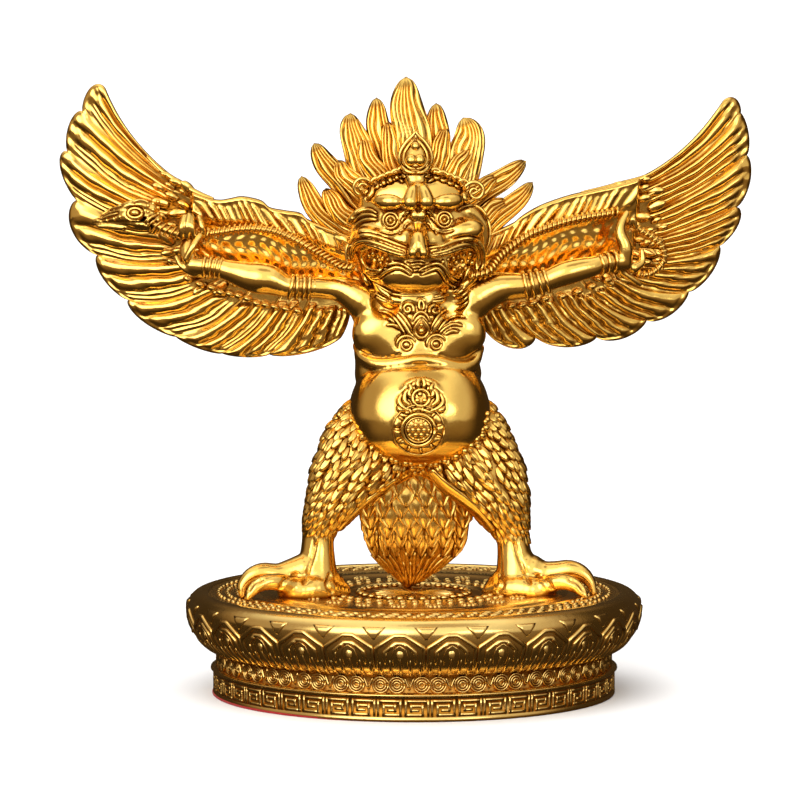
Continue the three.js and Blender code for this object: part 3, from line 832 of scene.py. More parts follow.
@dataclass
class Studio:
    """A pale floor, a pale surround that only the camera sees, soft light and the camera.

    A lobe of the light tent is a direction, and how far a view has to look along it for the lobe to start
    and to be full.
    """

    floor_radius: float = 9.0
    floor_tone: float = 0.86
    floor_roughness: float = 0.9
    floor_gloss: float = 0.1
    surround_share: float = 0.98
    surround_tone: float = 0.93
    above: Lobe = ((0, 0, 1), -0.075, -0.045)
    ahead: Lobe = ((-0.25, -0.85, 0.5), -0.25, 0.35)
    gap: Lobe = ((0.15, -0.3, 1.0), 0.955, 0.985)
    right: Lobe = ((1.0, -0.15, 0.1), 0.40, 0.85)
    left: Lobe = ((-1.0, -0.15, 0.1), 0.40, 0.85)
    low_front: Lobe = ((0, -1, 0), 0.0, 0.6)
    low_rise: Lobe = ((0, 0, 1), -0.9, -0.2)
    soft_box: Lobe = ((-0.50, -0.80, 0.42), 0.86, 0.975)
    narrow_box: Lobe = ((0.46, -0.85, 0.30), 0.975, 0.992)
    behind: Lobe = ((0, 0.55, 0.83), 0.80, 0.97)
    gap_dim: float = 0.6
    right_dim: float = 0.5
    left_dim: float = 0.68
    tent: float = 1.25
    box: float = 2.9
    table: float = 0.18
    back_light: float = 0.22
    shade: float = 0.045
    dim_tint: Triple = (1.0, 0.64, 0.32)
    full_tint: Triple = (1.0, 0.99, 0.98)
    full_light: float = 0.9
    overhead: float = 2.3
    overhead_size: float = math.radians(80)
    overhead_place: Triple = (-0.4, -0.5, 2.2)

    def stage(self, name: str, material: bpy.types.Material, hidden: Sequence[str]) -> None:
        """Names the newest object, gives it its finish and hides it from the kinds of ray that don't see it.
        """
        made = bpy.context.object
        made.name = name
        made.data.materials.append(material)
        for ray in hidden:
            setattr(made, f"visible_{ray}", False)

    def disc(self) -> None:
        """The floor, which the gold doesn't mirror."""
        bpy.ops.mesh.primitive_circle_add(vertices=96, radius=self.floor_radius, fill_type="NGON")
        made = bpy.data.materials.new("pale_floor")
        made.use_nodes = True
        shader = made.node_tree.nodes["Principled BSDF"]
        shader.inputs["Base Color"].default_value = colour(*[self.floor_tone] * 3)
        shader.inputs["Roughness"].default_value = self.floor_roughness
        shader.inputs["Specular IOR Level"].default_value = self.floor_gloss
        self.stage("floor", made, ["glossy"])

    def surround(self) -> None:
        """The pale dome behind everything."""
        radius = self.floor_radius * self.surround_share
        bpy.ops.mesh.primitive_uv_sphere_add(segments=48, ring_count=24, radius=radius)
        made, bench = finish_bench("pale_surround")
        tone = colour(*[self.surround_tone] * 3)
        glow = bench.node("ShaderNodeEmission", {}, {"Color": tone, "Strength": 1.0})
        bench.node("ShaderNodeOutputMaterial", {}, {"Surface": glow})
        self.stage("surround", made, ["diffuse", "glossy", "transmission", "volume_scatter", "shadow"])

    def world(self) -> None:
        """The light tent: bright in front and above, dark behind and below."""
        world = bpy.data.worlds.new("light_tent")
        bpy.context.scene.world = world
        world.use_nodes = True
        bench = Bench(world.node_tree)
        aim = bench.node("ShaderNodeTexCoord", {}, {}, "Generated")

        def within(lobe: Lobe) -> Wire:
            """How far the view looks into a lobe of the tent."""
            way, low, high = lobe
            goal = tuple(unit(np.array(way)))
            along = bench.node(
                "ShaderNodeVectorMath", {"operation": "DOT_PRODUCT"}, {0: aim, 1: goal}, "Value",
            )
            return along.between(low, high)

        above = within(self.above)
        tent = above * within(self.ahead)
        for lobe, dim in ((self.gap, self.gap_dim), (self.right, self.right_dim), (self.left, self.left_dim)):
            tent = tent * (1 - within(lobe) * dim)
        low_front = (1 - above) * within(self.low_front) * within(self.low_rise) * self.table
        light = tent * self.tent + low_front
        for lobe, strength in (
            (self.soft_box, self.box), (self.narrow_box, self.box), (self.behind, self.back_light),
        ):
            light = light + within(lobe) * strength
        light = light + self.shade
        tint = bench.mix(light.between(0.0, self.full_light), colour(*self.dim_tint), colour(*self.full_tint))
        glow = bench.node("ShaderNodeBackground", {}, {"Color": tint, "Strength": light})
        bench.node("ShaderNodeOutputWorld", {}, {"Surface": glow})

    def add(
        self, name: str, data: bpy.types.ID, place: Sequence[float], aim: Sequence[float],
    ) -> bpy.types.Object:
        """Adds a lamp or a camera at a place, turned to a direction."""
        made = bpy.data.objects.new(name, data)
        bpy.context.scene.collection.objects.link(made)
        made.location = place
        made.rotation_euler = Vector(aim).to_track_quat("-Z", "Y").to_euler()
        return made

    def lamps(self) -> None:
        """Soft light from overhead, which falls on the floor but isn't mirrored in the gold."""
        lamp = bpy.data.lights.new("overhead", "SUN")
        lamp.angle = self.overhead_size
        lamp.energy = self.overhead
        made = self.add("overhead", lamp, self.overhead_place, [-x for x in self.overhead_place])
        made.visible_glossy = False

    def camera(self) -> None:
        """The camera at the photograph's place."""
        view = bpy.data.cameras.new("camera")
        view.sensor_width = EYE.sensor
        view.lens = EYE.focal / (2 * EYE.centre) * EYE.sensor
        view.clip_start, view.clip_end = 0.01, 30.0
        bpy.context.scene.camera = self.add("camera", view, EYE.place() * MM, EYE.axes()[2])

    def build(self) -> None:
        """Sets up all of it."""
        self.disc()
        self.surround()
        self.world()
        self.lamps()
        self.camera()
        bpy.context.scene.view_settings.view_transform = "Standard"


def ring_points(radius: Any, turn: Any, level: Any) -> Array:
    """Points round the upright axis. A turn of 0 is to the front and grows towards the viewer's right."""
    radius, turn, level = np.broadcast_arrays(np.asarray(radius, float), turn, level)
    return np.stack([radius * np.sin(turn), -radius * np.cos(turn), level], -1)


def lathe(profile: Array, sides: int) -> Form:
    """A closed form turned from a profile of radius and height whose ends lie on the axis."""
    turn = np.arange(sides) / sides * FULL_TURN
    rings = ring_points(profile[1:-1, :1], turn[None], profile[1:-1, 1:])
    return tube(rings, np.array([0, 0, profile[0, 1]]), np.array([0, 0, profile[-1, 1]]))


def turned_round(form: Form, turns: Array) -> Form:
    """Copies of a form, each turned about the upright axis."""
    c, s = np.cos(turns), np.sin(turns)
    zero, one = np.zeros_like(c), np.ones_like(c)
    frames = np.stack([
        np.stack([c, s, zero], -1), np.stack([-s, c, zero], -1), np.stack([zero, zero, one], -1),
    ], 1)
    return stamp(form, np.zeros((len(turns), 3)), frames)


def beads(places: Array, radius: Any, flat: Any = 1.0, columns: int = 8, rows: int = 5) -> Form:
    """Small balls.

    Args:
        places: Their middles.
        radius: Their radius, one or for each.
        flat: Their height as a share of their width.
        columns: How many points go round each.
        rows: How many steps each has from top to bottom.

    Returns:
        All of them as one form.
    """
    radius = np.broadcast_to(radius, len(places))
    sizes = np.stack([radius, radius, radius * flat], -1)
    return stamp(ball(columns, rows), places, np.eye(3)[None] * sizes[:, :, None])


@dataclass
class Plinth:
    """The round lotus plinth with its fret band, wave band, petals and carved top. Sizes are millimetres."""

    pad_top: float = 0.3
    foot_radius: float = 26.6
    skirt: float = 0.05
    fret_top: float = 3.3
    fret_blocks: int = 48
    rail: float = 0.36
    fret_depth: float = 0.16
    ledge_radius: float = 26.9
    ledge_top: float = 3.65
    wave_radius: float = 25.95
    wave_top: float = 5.8
    wave_rings: int = 62
    neck_radius: float = 25.7
    petals: int = 28
    petal_turn: float = math.radians(4.9)
    apex_level: float = 11.8
    valley_level: float = 10.1
    outer_gap: float = 0.24
    inner_gap: float = 1.22
    ridge: float = 0.33
    field: float = 13.35
    rim_top: float = 13.6
    disc_radius: float = 9.2
    wave_rope: Pair = (0.13, 0.28)
    wave_sizes: Triple = (0.36, 0.69, 1.02)
    wave_pairing: float = 0.8
    bead_rings: tuple[tuple[float, int, float], ...] = ((7.2, 30, 0.6), (10.7, 42, 0.62), (12.5, 50, 0.55))
    grain_rings: tuple[tuple[float, int], ...] = ((23.3, 84), (24.6, 88), (25.8, 92))
    rosettes: int = 20
    rosette_ring: float = 15.0
    rosette_bead: float = 0.38
    rosette_reach: float = 0.78
    rays: int = 20
    ray_ring: float = 2.9
    boss_level: float = 9.15
    boss: Triple = (0.5, 0.2, 0.68)
    flutes: int = 5
    plate_rise: float = 0.2

    def bowl(self) -> Array:
        """The bowl's outer line, from the neck to the field inside the rim."""
        line = [
            (self.neck_radius, self.wave_top), (27.1, 6.35), (28.4, 7.4), (29.35, 8.8), (29.85, 10.3),
            (30.0, 11.5), (29.9, 12.2), (29.5, 12.85), (28.9, 13.35), (28.1, self.rim_top),
            (27.4, self.rim_top), (27.0, self.field),
        ]
        return curve(line, 60)

    def on_bowl(self, turn: Array, level: Array, over: float = 0.0) -> Array:
        """Points on the bowl's side at the given turns and levels."""
        line = self.bowl()[:48]
        radius = np.interp(level, line[:, 1], line[:, 0])
        return ring_points(radius + over, turn, level)

    def bar(self, start: Pair, end: Pair, half: float, foot: float, height: float) -> Form:
        """A raised bar on an upright round wall.

        Args:
            start: The turn and level of its one end.
            end: The turn and level of its other end.
            half: Its half width.
            foot: The wall's radius.
            height: How far it stands proud.

        Returns:
            The bar.
        """
        steps = 5
        t = np.linspace(0, 1, steps)[:, None]
        middle = np.array(start) * (1 - t) + np.array(end) * t
        run = np.array([(end[0] - start[0]) * foot, end[1] - start[1]])
        run = run / np.linalg.norm(run)
        middle[0] -= run * [half / foot, half]
        middle[-1] += run * [half / foot, half]
        side = np.array([-run[1] / foot, run[0]]) * half
        section = ((1.0, -0.15), (0.72, height), (-0.72, height), (-1.0, -0.15))
        rings = [ring_points(foot + over, *(middle + side * k).T) for k, over in section]
        return tube(np.stack(rings, 1))

    def fret(self) -> Form:
        """One block of the fret band and its mirror image beside it, repeated round the foot."""
        foot = self.foot_radius - self.fret_depth
        low, high = self.pad_top + self.rail + 0.26, self.fret_top - self.rail - 0.26
        pitch = FULL_TURN / self.fret_blocks
        spiral = (
            (0.07, 0.0), (0.07, 1.0), (0.90, 1.0), (0.90, 0.0), (0.28, 0.0), (0.28, 0.66), (0.70, 0.66),
            (0.70, 0.33), (0.46, 0.33),
        )
        bars = Casting("fret")
        for mirror in (1, -1):
            spots = [(mirror * x * pitch, low + z * (high - low)) for x, z in spiral]
            for a, b in zip(spots[:-1], spots[1:]):
                bars.add(self.bar(a, b, 0.2, foot, self.fret_depth - 0.02))
        turns = np.arange(0, self.fret_blocks, 2) * pitch
        return turned_round(bars.whole(), turns)

    def waves(self) -> Form:
        """Rings inside rings round the upper band, in pairs, with small strokes between the pairs."""
        middle = (self.ledge_top + self.wave_top) / 2
        unit_turn = FULL_TURN / self.wave_rings
        made = Casting("waves")
        angle = np.linspace(0, FULL_TURN, 16)
        for radius in self.wave_sizes:
            for side in (0.5, -0.5):
                shift = side * unit_turn * self.wave_pairing
                path = ring_points(
                    self.wave_radius, shift + radius * np.cos(angle) / self.wave_radius,
                    middle + radius * np.sin(angle),
                )
                made.add(rope(path, *self.wave_rope, sides=5))
        for lean in (1, -1):
            path = ring_points(
                self.wave_radius,
                unit_turn + lean * np.linspace(0.6, 0.04, 5) / self.wave_radius,
                middle + np.linspace(0.95, -0.5, 5),
            )
            made.add(rope(path, *self.wave_rope, sides=5))
        turns = np.arange(0, self.wave_rings, 2) * unit_turn
        return turned_round(made.whole(), turns)

    def petal(self) -> Form:
        """The raised lines, boss and flutes of one petal, its middle to the front."""
        half = math.pi / self.petals
        flat = 0.19 * half
        made = Casting("petal")
        for inset in (self.outer_gap, self.inner_gap):
            tilt = inset / 27.5
            foot = 6.5 + inset
            corners = [
                (half - tilt, foot), (half - tilt, 8.0), (half - tilt, self.valley_level - inset * 0.55),
                (flat, self.apex_level - inset), (-flat, self.apex_level - inset),
                (tilt - half, self.valley_level - inset * 0.55), (tilt - half, 8.0), (tilt - half, foot),
            ]
            line = np.array([
                np.array(a) + (np.array(b) - np.array(a)) * t
                for a, b in zip(corners[:-1], corners[1:]) for t in (0.04, 0.35, 0.65, 0.96)
            ])
            width = np.full(len(line), self.ridge)
            width[:8] *= np.linspace(0.25, 1, 8)
            width[-8:] *= np.linspace(1, 0.25, 8)
            path = self.on_bowl(line[:, 0], line[:, 1], -0.02)
            made.add(rope(path, width, width * 0.9, sides=6))
        boss = self.on_bowl(np.zeros(1), np.full(1, self.boss_level))
        made.add(stamp(ball(12, 8), boss, np.diag(self.boss)[None]))
        turn = np.array([-0.03, -0.036, -0.025, 0.0, 0.025, 0.036, 0.03])
        crown = self.on_bowl(turn, np.array([7.6, 8.8, 9.8, 10.3, 9.8, 8.8, 7.6]))
        made.add(rope(crown, 0.11 * tapered(7), 0.17, sides=6))
        for k in np.linspace(-0.8, 0.8, self.flutes):
            level = np.linspace(6.1, 8.6 - 0.7 * abs(k), 8)
            path = self.on_bowl(np.full(8, k * half), level)
            swell = np.sin(np.linspace(0.75, 3.0, 8))
            made.add(rope(path, 0.29 * swell, 0.3 * swell, sides=6))
        rise, across = np.linspace(0, 1, 7)[:, None], np.linspace(-1, 1, 9)[None]
        turn = half * (1 + 0.45 * across * (0.1 + 0.9 * rise))
        level = self.valley_level + 0.95 + 1.6 * rise + 0 * across
        edge = np.clip(np.minimum(1 - np.abs(across), 1 - rise) * 6, 0, 1)
        plate = self.on_bowl(turn, level, 0.06 + self.plate_rise * rise * edge)
        made.add(slab(plate, self.on_bowl(turn, level, -0.3)))
        return made.whole()

    def side(self) -> Form:
        """The lathe-turned body of the plinth, closed underneath and on top."""
        rail_radius, wall = self.foot_radius, self.foot_radius - self.fret_depth
        r, f = self.rail, self.fret_top
        profile = [
            (0, self.pad_top), (rail_radius - 0.3, self.pad_top), (rail_radius - 0.25, self.skirt),
            (rail_radius - 0.06, self.skirt), (rail_radius, self.skirt + 0.08),
            (rail_radius, self.pad_top + r - 0.06), (wall, self.pad_top + r), (wall, f - r),
            (rail_radius, f - r + 0.06), (rail_radius, f - 0.04), (self.ledge_radius - 0.1, f),
            (self.ledge_radius, f + 0.1), (self.ledge_radius - 0.02, self.ledge_top - 0.1),
            (self.wave_radius + 0.25, self.ledge_top), (self.wave_radius, self.ledge_top + 0.12),
            (self.wave_radius, self.wave_top - 0.15), (self.neck_radius, self.wave_top - 0.05),
        ]
        field = self.field
        top = [
            (26.6, field), (22.6, field), (22.4, field + 0.14), (21.8, field + 0.14), (21.6, field),
            (20.4, field), (20.1, field + 0.16), (17.4, field + 0.16), (17.1, field),
            (self.disc_radius + 0.4, field), (self.disc_radius + 0.2, field + 0.1), (self.disc_radius, field),
            (self.disc_radius - 0.15, field - 0.22), (0, field - 0.22),
        ]
        return lathe(np.vstack([profile, self.bowl(), top]), self.petals * 8)

    def top(self) -> Form:
        """The beads, rosettes and rays on the plinth's top."""
        made = Casting("top")
        for radius, count, size in self.bead_rings:
            turn = np.arange(count) / count * FULL_TURN + radius
            made.add(beads(ring_points(radius, turn, self.field), size, 0.6, 6, 4))
        for radius, count in self.grain_rings:
            turn = np.arange(count) / count * FULL_TURN + 0.05 * radius
            spots, after = ring_points(radius, turn, self.field), ring_points(radius, turn + 0.01, self.field)
            along = unit(after - spots)
            made.add(stamp(ball(8, 5), spots, laid(along, UP, 0.62 + 0.2 * np.sin(turn * 23), 0.33, 0.3)))
        petals = np.arange(8) / 8 * FULL_TURN
        reach = self.rosette_reach
        flower = np.vstack(
            [[[0, 0, 0]], np.stack([reach * np.cos(petals), reach * np.sin(petals), 0 * petals], -1)]
        )
        turn = np.arange(self.rosettes) / self.rosettes * FULL_TURN + 0.1
        middles = ring_points(self.rosette_ring, turn, self.field)
        made.add(beads((middles[:, None] + flower[None]).reshape(-1, 3), self.rosette_bead, 0.7, 7, 4))
        out = ring_points(1.0, np.arange(self.rays) / self.rays * FULL_TURN, 0.0)
        frames = laid(out, UP, 2.5, 0.17, 0.25)
        made.add(stamp(plume(6, 4), out * self.ray_ring + UP * (self.field - 0.2), frames))
        return made.whole()

    def build(self, material: bpy.types.Material) -> None:
        """Makes the plinth's two pieces."""
        turns = self.petal_turn + np.arange(self.petals) / self.petals * FULL_TURN
        base = Casting("plinth_body")
        base.add(self.side(), self.fret(), self.waves())
        base.finish(material, Solid.PLINTH)
        carving = Casting("plinth_carving")
        carving.add(turned_round(self.petal(), turns), self.top())
        carving.finish(material, Solid.PLINTH)


@dataclass
class Pad:
    """The flocked pad under the plinth. Sizes are millimetres."""

    radius: float = 26.4
    top: float = 0.3
    shift: float = 0.3
    setback: float = -0.05

    def build(self, material: bpy.types.Material) -> None:
        """Makes the pad with a soft edge."""
        r, t = self.radius, self.top
        profile = np.array([(0, 0), (r - 0.08, 0), (r, 0.08), (r, t - 0.06), (r - 0.05, t), (0, t)])
        form = lathe(profile, 192)
        made = Casting("pad")
        made.add(form.moved(form.points + [-self.shift, self.setback, 0]))
        made.finish(material, Solid.PAD)


@dataclass
class Wing:
    """A spread wing: nine ribbed feathers, short ones over their roots and a carved upper band.

    Places are pixels of the photograph, from the wing's tip to its foot, and heights are millimetres.
    """

    name: str
    side: int
    notches: tuple[Pair, ...]
    swells: tuple[Pair, ...]
    roots: tuple[Pair, ...]
    bends: tuple[Pair, ...]
    bars: tuple[int, ...]
    streaks: float
    beans: tuple[Pair, ...]
    band_top: tuple[Pair, ...]
    band_foot: tuple[Pair, ...]
    rod: tuple[Pair, ...]
    columns_each: int = 31
    rows: int = 50
    back_set: float = 0.5
    bar_height: float = 0.62
    line_height: float = 0.24
    lip_height: float = 0.22
    pit_depth: float = 0.13
    fold: float = 0.30
    band_height: float = 1.75

    def depth(self, pixels: Array) -> Array:
        """Depth of the wing's middle sheet, which sweeps back as it spreads."""
        return 3.0 + 6.8 * ((pixels[..., 0] - 414) / 330) ** 2

    def flat(self, u: Array, v: Array) -> Array:
        """The pixel at a share u of the fan and a share v of a feather's length."""
        count = len(self.swells)
        number = np.minimum((u * count).astype(int), count - 1)
        w = (u * count - number)[..., None]
        knots = np.array(self.notches, float)
        start, end = knots[number], knots[number + 1]
        swell = np.array(self.swells, float)[number] - (start + end) / 2
        edge = start + (end - start) * w + swell * np.clip(1 - (2 * w - 1) ** 2, 0, 1) ** 0.7
        steps = np.linspace(0, 1, 8 * count + 1)
        root, bend = (
            np.stack([np.interp(u, steps, curve(line, len(steps))[:, k]) for k in range(2)], -1)
            for line in (self.roots, self.bends)
        )
        v = v[..., None]
        return root * (1 - v) ** 2 + 2 * bend * v * (1 - v) + edge * v**2

    def relief(self, u: Array, v: Array) -> Array:
        """How far the feathers stand out at a share of the fan and of the length."""
        count = len(self.swells)
        number = np.minimum((u * count).astype(int), count - 1)
        w = u * count - number
        waver = 0.02 * np.sin(15 * v + number * 3) + 0.012 * np.sin(37 * v + 7 * w)
        w = np.clip(w + waver * np.sin(math.pi * w), 0, 1)
        share = 1 - self.streaks
        spot = w / share * np.array(self.bars)[number]
        each = np.floor(spot)
        stop = 0.955 - 0.022 * each + 0.014 * np.cos(number * 1.7 + each * 2.3)
        start = 0.22 + 0.05 * np.cos(number * 2.1 + each * 1.3)
        ends = np.clip((v - start) / 0.04, 0, 1) * np.clip((stop - v) / 0.05, 0, 1)
        bar = self.bar_height * mound(spot - each, 0.5, 0.42) * np.sqrt(ends) * (w < share)
        lines = 0.5 - 0.5 * np.cos(
            (w - share) / max(self.streaks, 0.01) * 2.5 * FULL_TURN + 1.5 * np.sin(9 * v)
        )
        lines = self.line_height * lines * (w > share) * ease(v, 0.3, 0.36) * (1 - ease(v, 0.86, 0.93))
        lip = self.lip_height * mound(v, 0.972, 0.028) * (0.7 + 0.3 * np.cos(w * 19 + number * 2))
        pits = self.pit_depth * np.sin(v * 190 + number) * np.sin(
            w * 23 + number * 2 + 9 * v
        ) * ease(v, 0.91, 0.95)
        fold = self.fold * (1 - w) - 0.16 * mound(w, 1.0, 0.05)
        taper = 1 - 0.3 * ease(v, 0.5, 1.0)
        edge = ease(u, 0, 0.006) * ease(1 - u, 0, 0.006) * ease(1 - v, 0, 0.012)
        rough = 0.012 * np.sin(v * 61 + w * 29) * np.sin(v * 113 - w * 17 + number) * ease(v, 0.2, 0.3)
        return (0.15 + fold + bar + lines + lip + pits + rough) * taper * (0.2 + 0.8 * edge)

    def fan(self) -> Form:
        """The long feathers as one carved sheet."""
        u = np.linspace(0, 1, len(self.swells) * self.columns_each + 1)[None]
        v = np.linspace(0, 1, self.rows + 1)[:, None]
        v = v + 0.3 * np.sin(FULL_TURN * v) / FULL_TURN
        u, v = np.broadcast_arrays(u, v)
        pixels, height = self.flat(u, v), self.relief(u, v)
        depth, (column, row) = self.depth(pixels), np.moveaxis(pixels, -1, 0)
        back = EYE.at(column, row, depth + self.back_set + 0.5 * height)
        return slab(EYE.at(column, row, depth - height), back)

    def coverts(self) -> Form:
        """The irregular short feathers over the roots of the upper ones, and the beans below the arm."""
        made = Casting("coverts")
        for v, count, last in ((0.09, 9, 0.60), (0.17, 10, 0.58), (0.26, 11, 0.55)):
            u = np.linspace(0.02 + 0.12 * v, last, count)
            at = np.clip(v + 0.03 * np.sin(u * 47), 0, 1)
            u = u + 0.008 * np.sin(u * 83 + 20 * v)
            here, ahead = self.flat(u, at), self.flat(u, at + 0.02)
            spots = EYE.at(here[:, 0], here[:, 1], self.depth(here) - 0.75)
            along = EYE.at(ahead[:, 0], ahead[:, 1], self.depth(ahead) - 0.85) - spots
            size = 1 + 0.35 * np.sin(u * 31 + 9 * v)
            along = unit(along) + 0.35 * np.stack([np.sin(u * 59), 0 * u, np.cos(u * 71)], -1)
            made.add(stamp(plume(7, 6, 0.2, 0.16), spots, laid(along, FRONT, 1.0 * size, 0.62 * size, 0.42)))
        beans = np.array(self.beans, float)
        spots = EYE.at(beans[:, 0], beans[:, 1], self.depth(beans) - 1.15)
        lean = np.array([self.side * 0.85, 0.0, 0.35]) + 0 * spots
        made.add(stamp(ball(12, 8), spots, laid(lean, FRONT, 0.72, 0.45, 0.5)))
        return made.whole()

    def band(self) -> Form:
        """The upper band: slanting leaves above the snake, and a flat field with faint strokes below it."""
        top, foot = curve(self.band_top, 145), curve(self.band_foot, 145)
        v = np.linspace(0, 1, 38)[:, None]
        pixels = top + (foot - top) * v[..., None]
        away, row = (pixels[..., 0] - 414) * self.side, pixels[..., 1]
        slant = (away + 0.55 * row) / 8.2 + 0.5 * np.sin(away / 14)
        leaves = np.abs(np.cos(math.pi * slant)) ** 0.7 * (0.7 + 0.3 * np.sin(away / 5.3 + 12 * v))
        frill = ease(v, 0.05, 0.1) * (1 - ease(v, 0.27, 0.33))
        field = ease(v, 0.33, 0.42)
        wander = away / 1.7 + 1.6 * np.sin(row / 5) + 2 * np.sin(away / 19)
        marks = np.sin(40 * v + 1.2 * np.sin(away / 11)) * (0.4 + 0.6 * np.sin(wander))
        height = self.band_height + 0.5 * frill * leaves + 0.3 * mound(v, 0.035, 0.035)
        height = height - (0.2 + 1.2 * (v - 0.33)) * field + 0.09 * field * marks
        s = np.linspace(0, 1, 145)
        rim = ease(np.minimum(np.minimum(s, 1 - s) * 12, np.minimum(v, 1 - v) * 16), 0, 0.3)
        depth, column = self.depth(pixels), pixels[..., 0]
        back = depth + self.back_set + 0.25 * rim * np.cos(math.pi * slant) ** 2
        return slab(EYE.at(column, row, depth - height * (0.3 + 0.7 * rim)), EYE.at(column, row, back))

    def build(self, material: bpy.types.Material) -> None:
        """Makes the wing."""
        made = Casting(self.name)
        made.add(self.fan(), self.coverts(), self.band())
        line = curve(self.rod, 40)
        path = EYE.at(line[:, 0], line[:, 1], self.depth(line) - 0.6)
        made.add(rope(path, 0.42 * tapered(40, 0.3), sides=10))
        made.finish(material)


LEFT_WING = Wing(
    "wing_left", -1,
    (
        (106, 89), (82, 111), (67, 151), (76, 200), (97, 255), (128, 300), (176, 337), (222, 353.5),
        (269, 354.5), (343, 335),
    ),
    (
        (91, 87), (69, 124), (60, 168), (71, 229), (103, 279), (142, 321), (199, 349), (247, 357.5),
        (310, 352.5),
    ),
    (
        (205, 197), (204, 206), (202, 220), (204, 240), (215, 258), (235, 270), (262, 276), (288, 284),
        (315, 289), (350, 292),
    ),
    (
        (133, 156), (125, 165), (115, 200), (120, 228), (135, 270), (170, 312), (225, 330), (262, 335),
        (300, 330), (354, 315),
    ),
    (2, 2, 2, 2, 2, 2, 2, 2, 3), 0.3,
    (
        (188, 279), (200, 284.5), (212, 288), (221, 292.5), (230, 294), (239, 296), (248, 299), (257, 303.5),
        (266, 305), (275, 307), (286, 309), (298, 311),
    ),
    (
        (384, 252), (360, 238), (330, 228), (308, 219), (300, 212.5), (285, 210), (270, 207), (262, 200.5),
        (250, 197), (240, 196), (230, 198), (220, 199.5), (210, 198), (200, 194.5), (190, 191),
    ),
    (
        (384, 306), (360, 303), (330, 297), (310, 294.5), (285, 292), (259, 285), (229, 277), (205, 270),
        (190, 264),
    ),
    ((214, 199), (204, 196), (190, 189.5), (176, 181), (160, 169.5), (146, 155)),
)
RIGHT_WING = Wing(
    "wing_right", 1,
    (
        (722, 102), (741, 113), (747, 155), (737, 207), (720, 246), (689, 292), (647, 320), (597, 337),
        (536, 337), (483, 327),
    ),
    (
        (735, 98), (749, 134), (750.5, 181), (739, 224), (712, 273), (671, 315), (624, 338.5), (567, 347.5),
        (512, 348.5),
    ),
    (
        (600, 189), (606, 200), (620, 225), (625, 245), (625, 262), (600, 263), (575, 273), (545, 283),
        (498, 289), (476, 294),
    ),
    (
        (672, 177), (694, 180), (697, 200), (690, 235), (685, 262), (640, 298), (605, 315), (562, 325),
        (508, 325), (474, 314),
    ),
    (2, 4, 4, 4, 4, 3, 4, 4, 3), 0.1,
    (
        (498, 307), (511, 306), (522, 305), (533, 303), (545, 299), (562, 296.5), (578, 292), (592, 286.5),
        (608, 280), (622, 274),
    ),
    (
        (444, 252), (474, 238), (494, 231), (513, 222.5), (520, 217), (528, 211.5), (538, 206), (550, 201),
        (570, 194.5), (590, 190), (610, 186), (630, 181), (642, 177),
    ),
    (
        (444, 308), (474, 303), (490, 297), (506, 293), (526, 292), (546, 288), (567, 281), (591, 274),
        (613, 267), (636, 260),
    ),
    ((580, 193), (600, 189.5), (620, 184.5), (640, 179), (656, 172)),
)


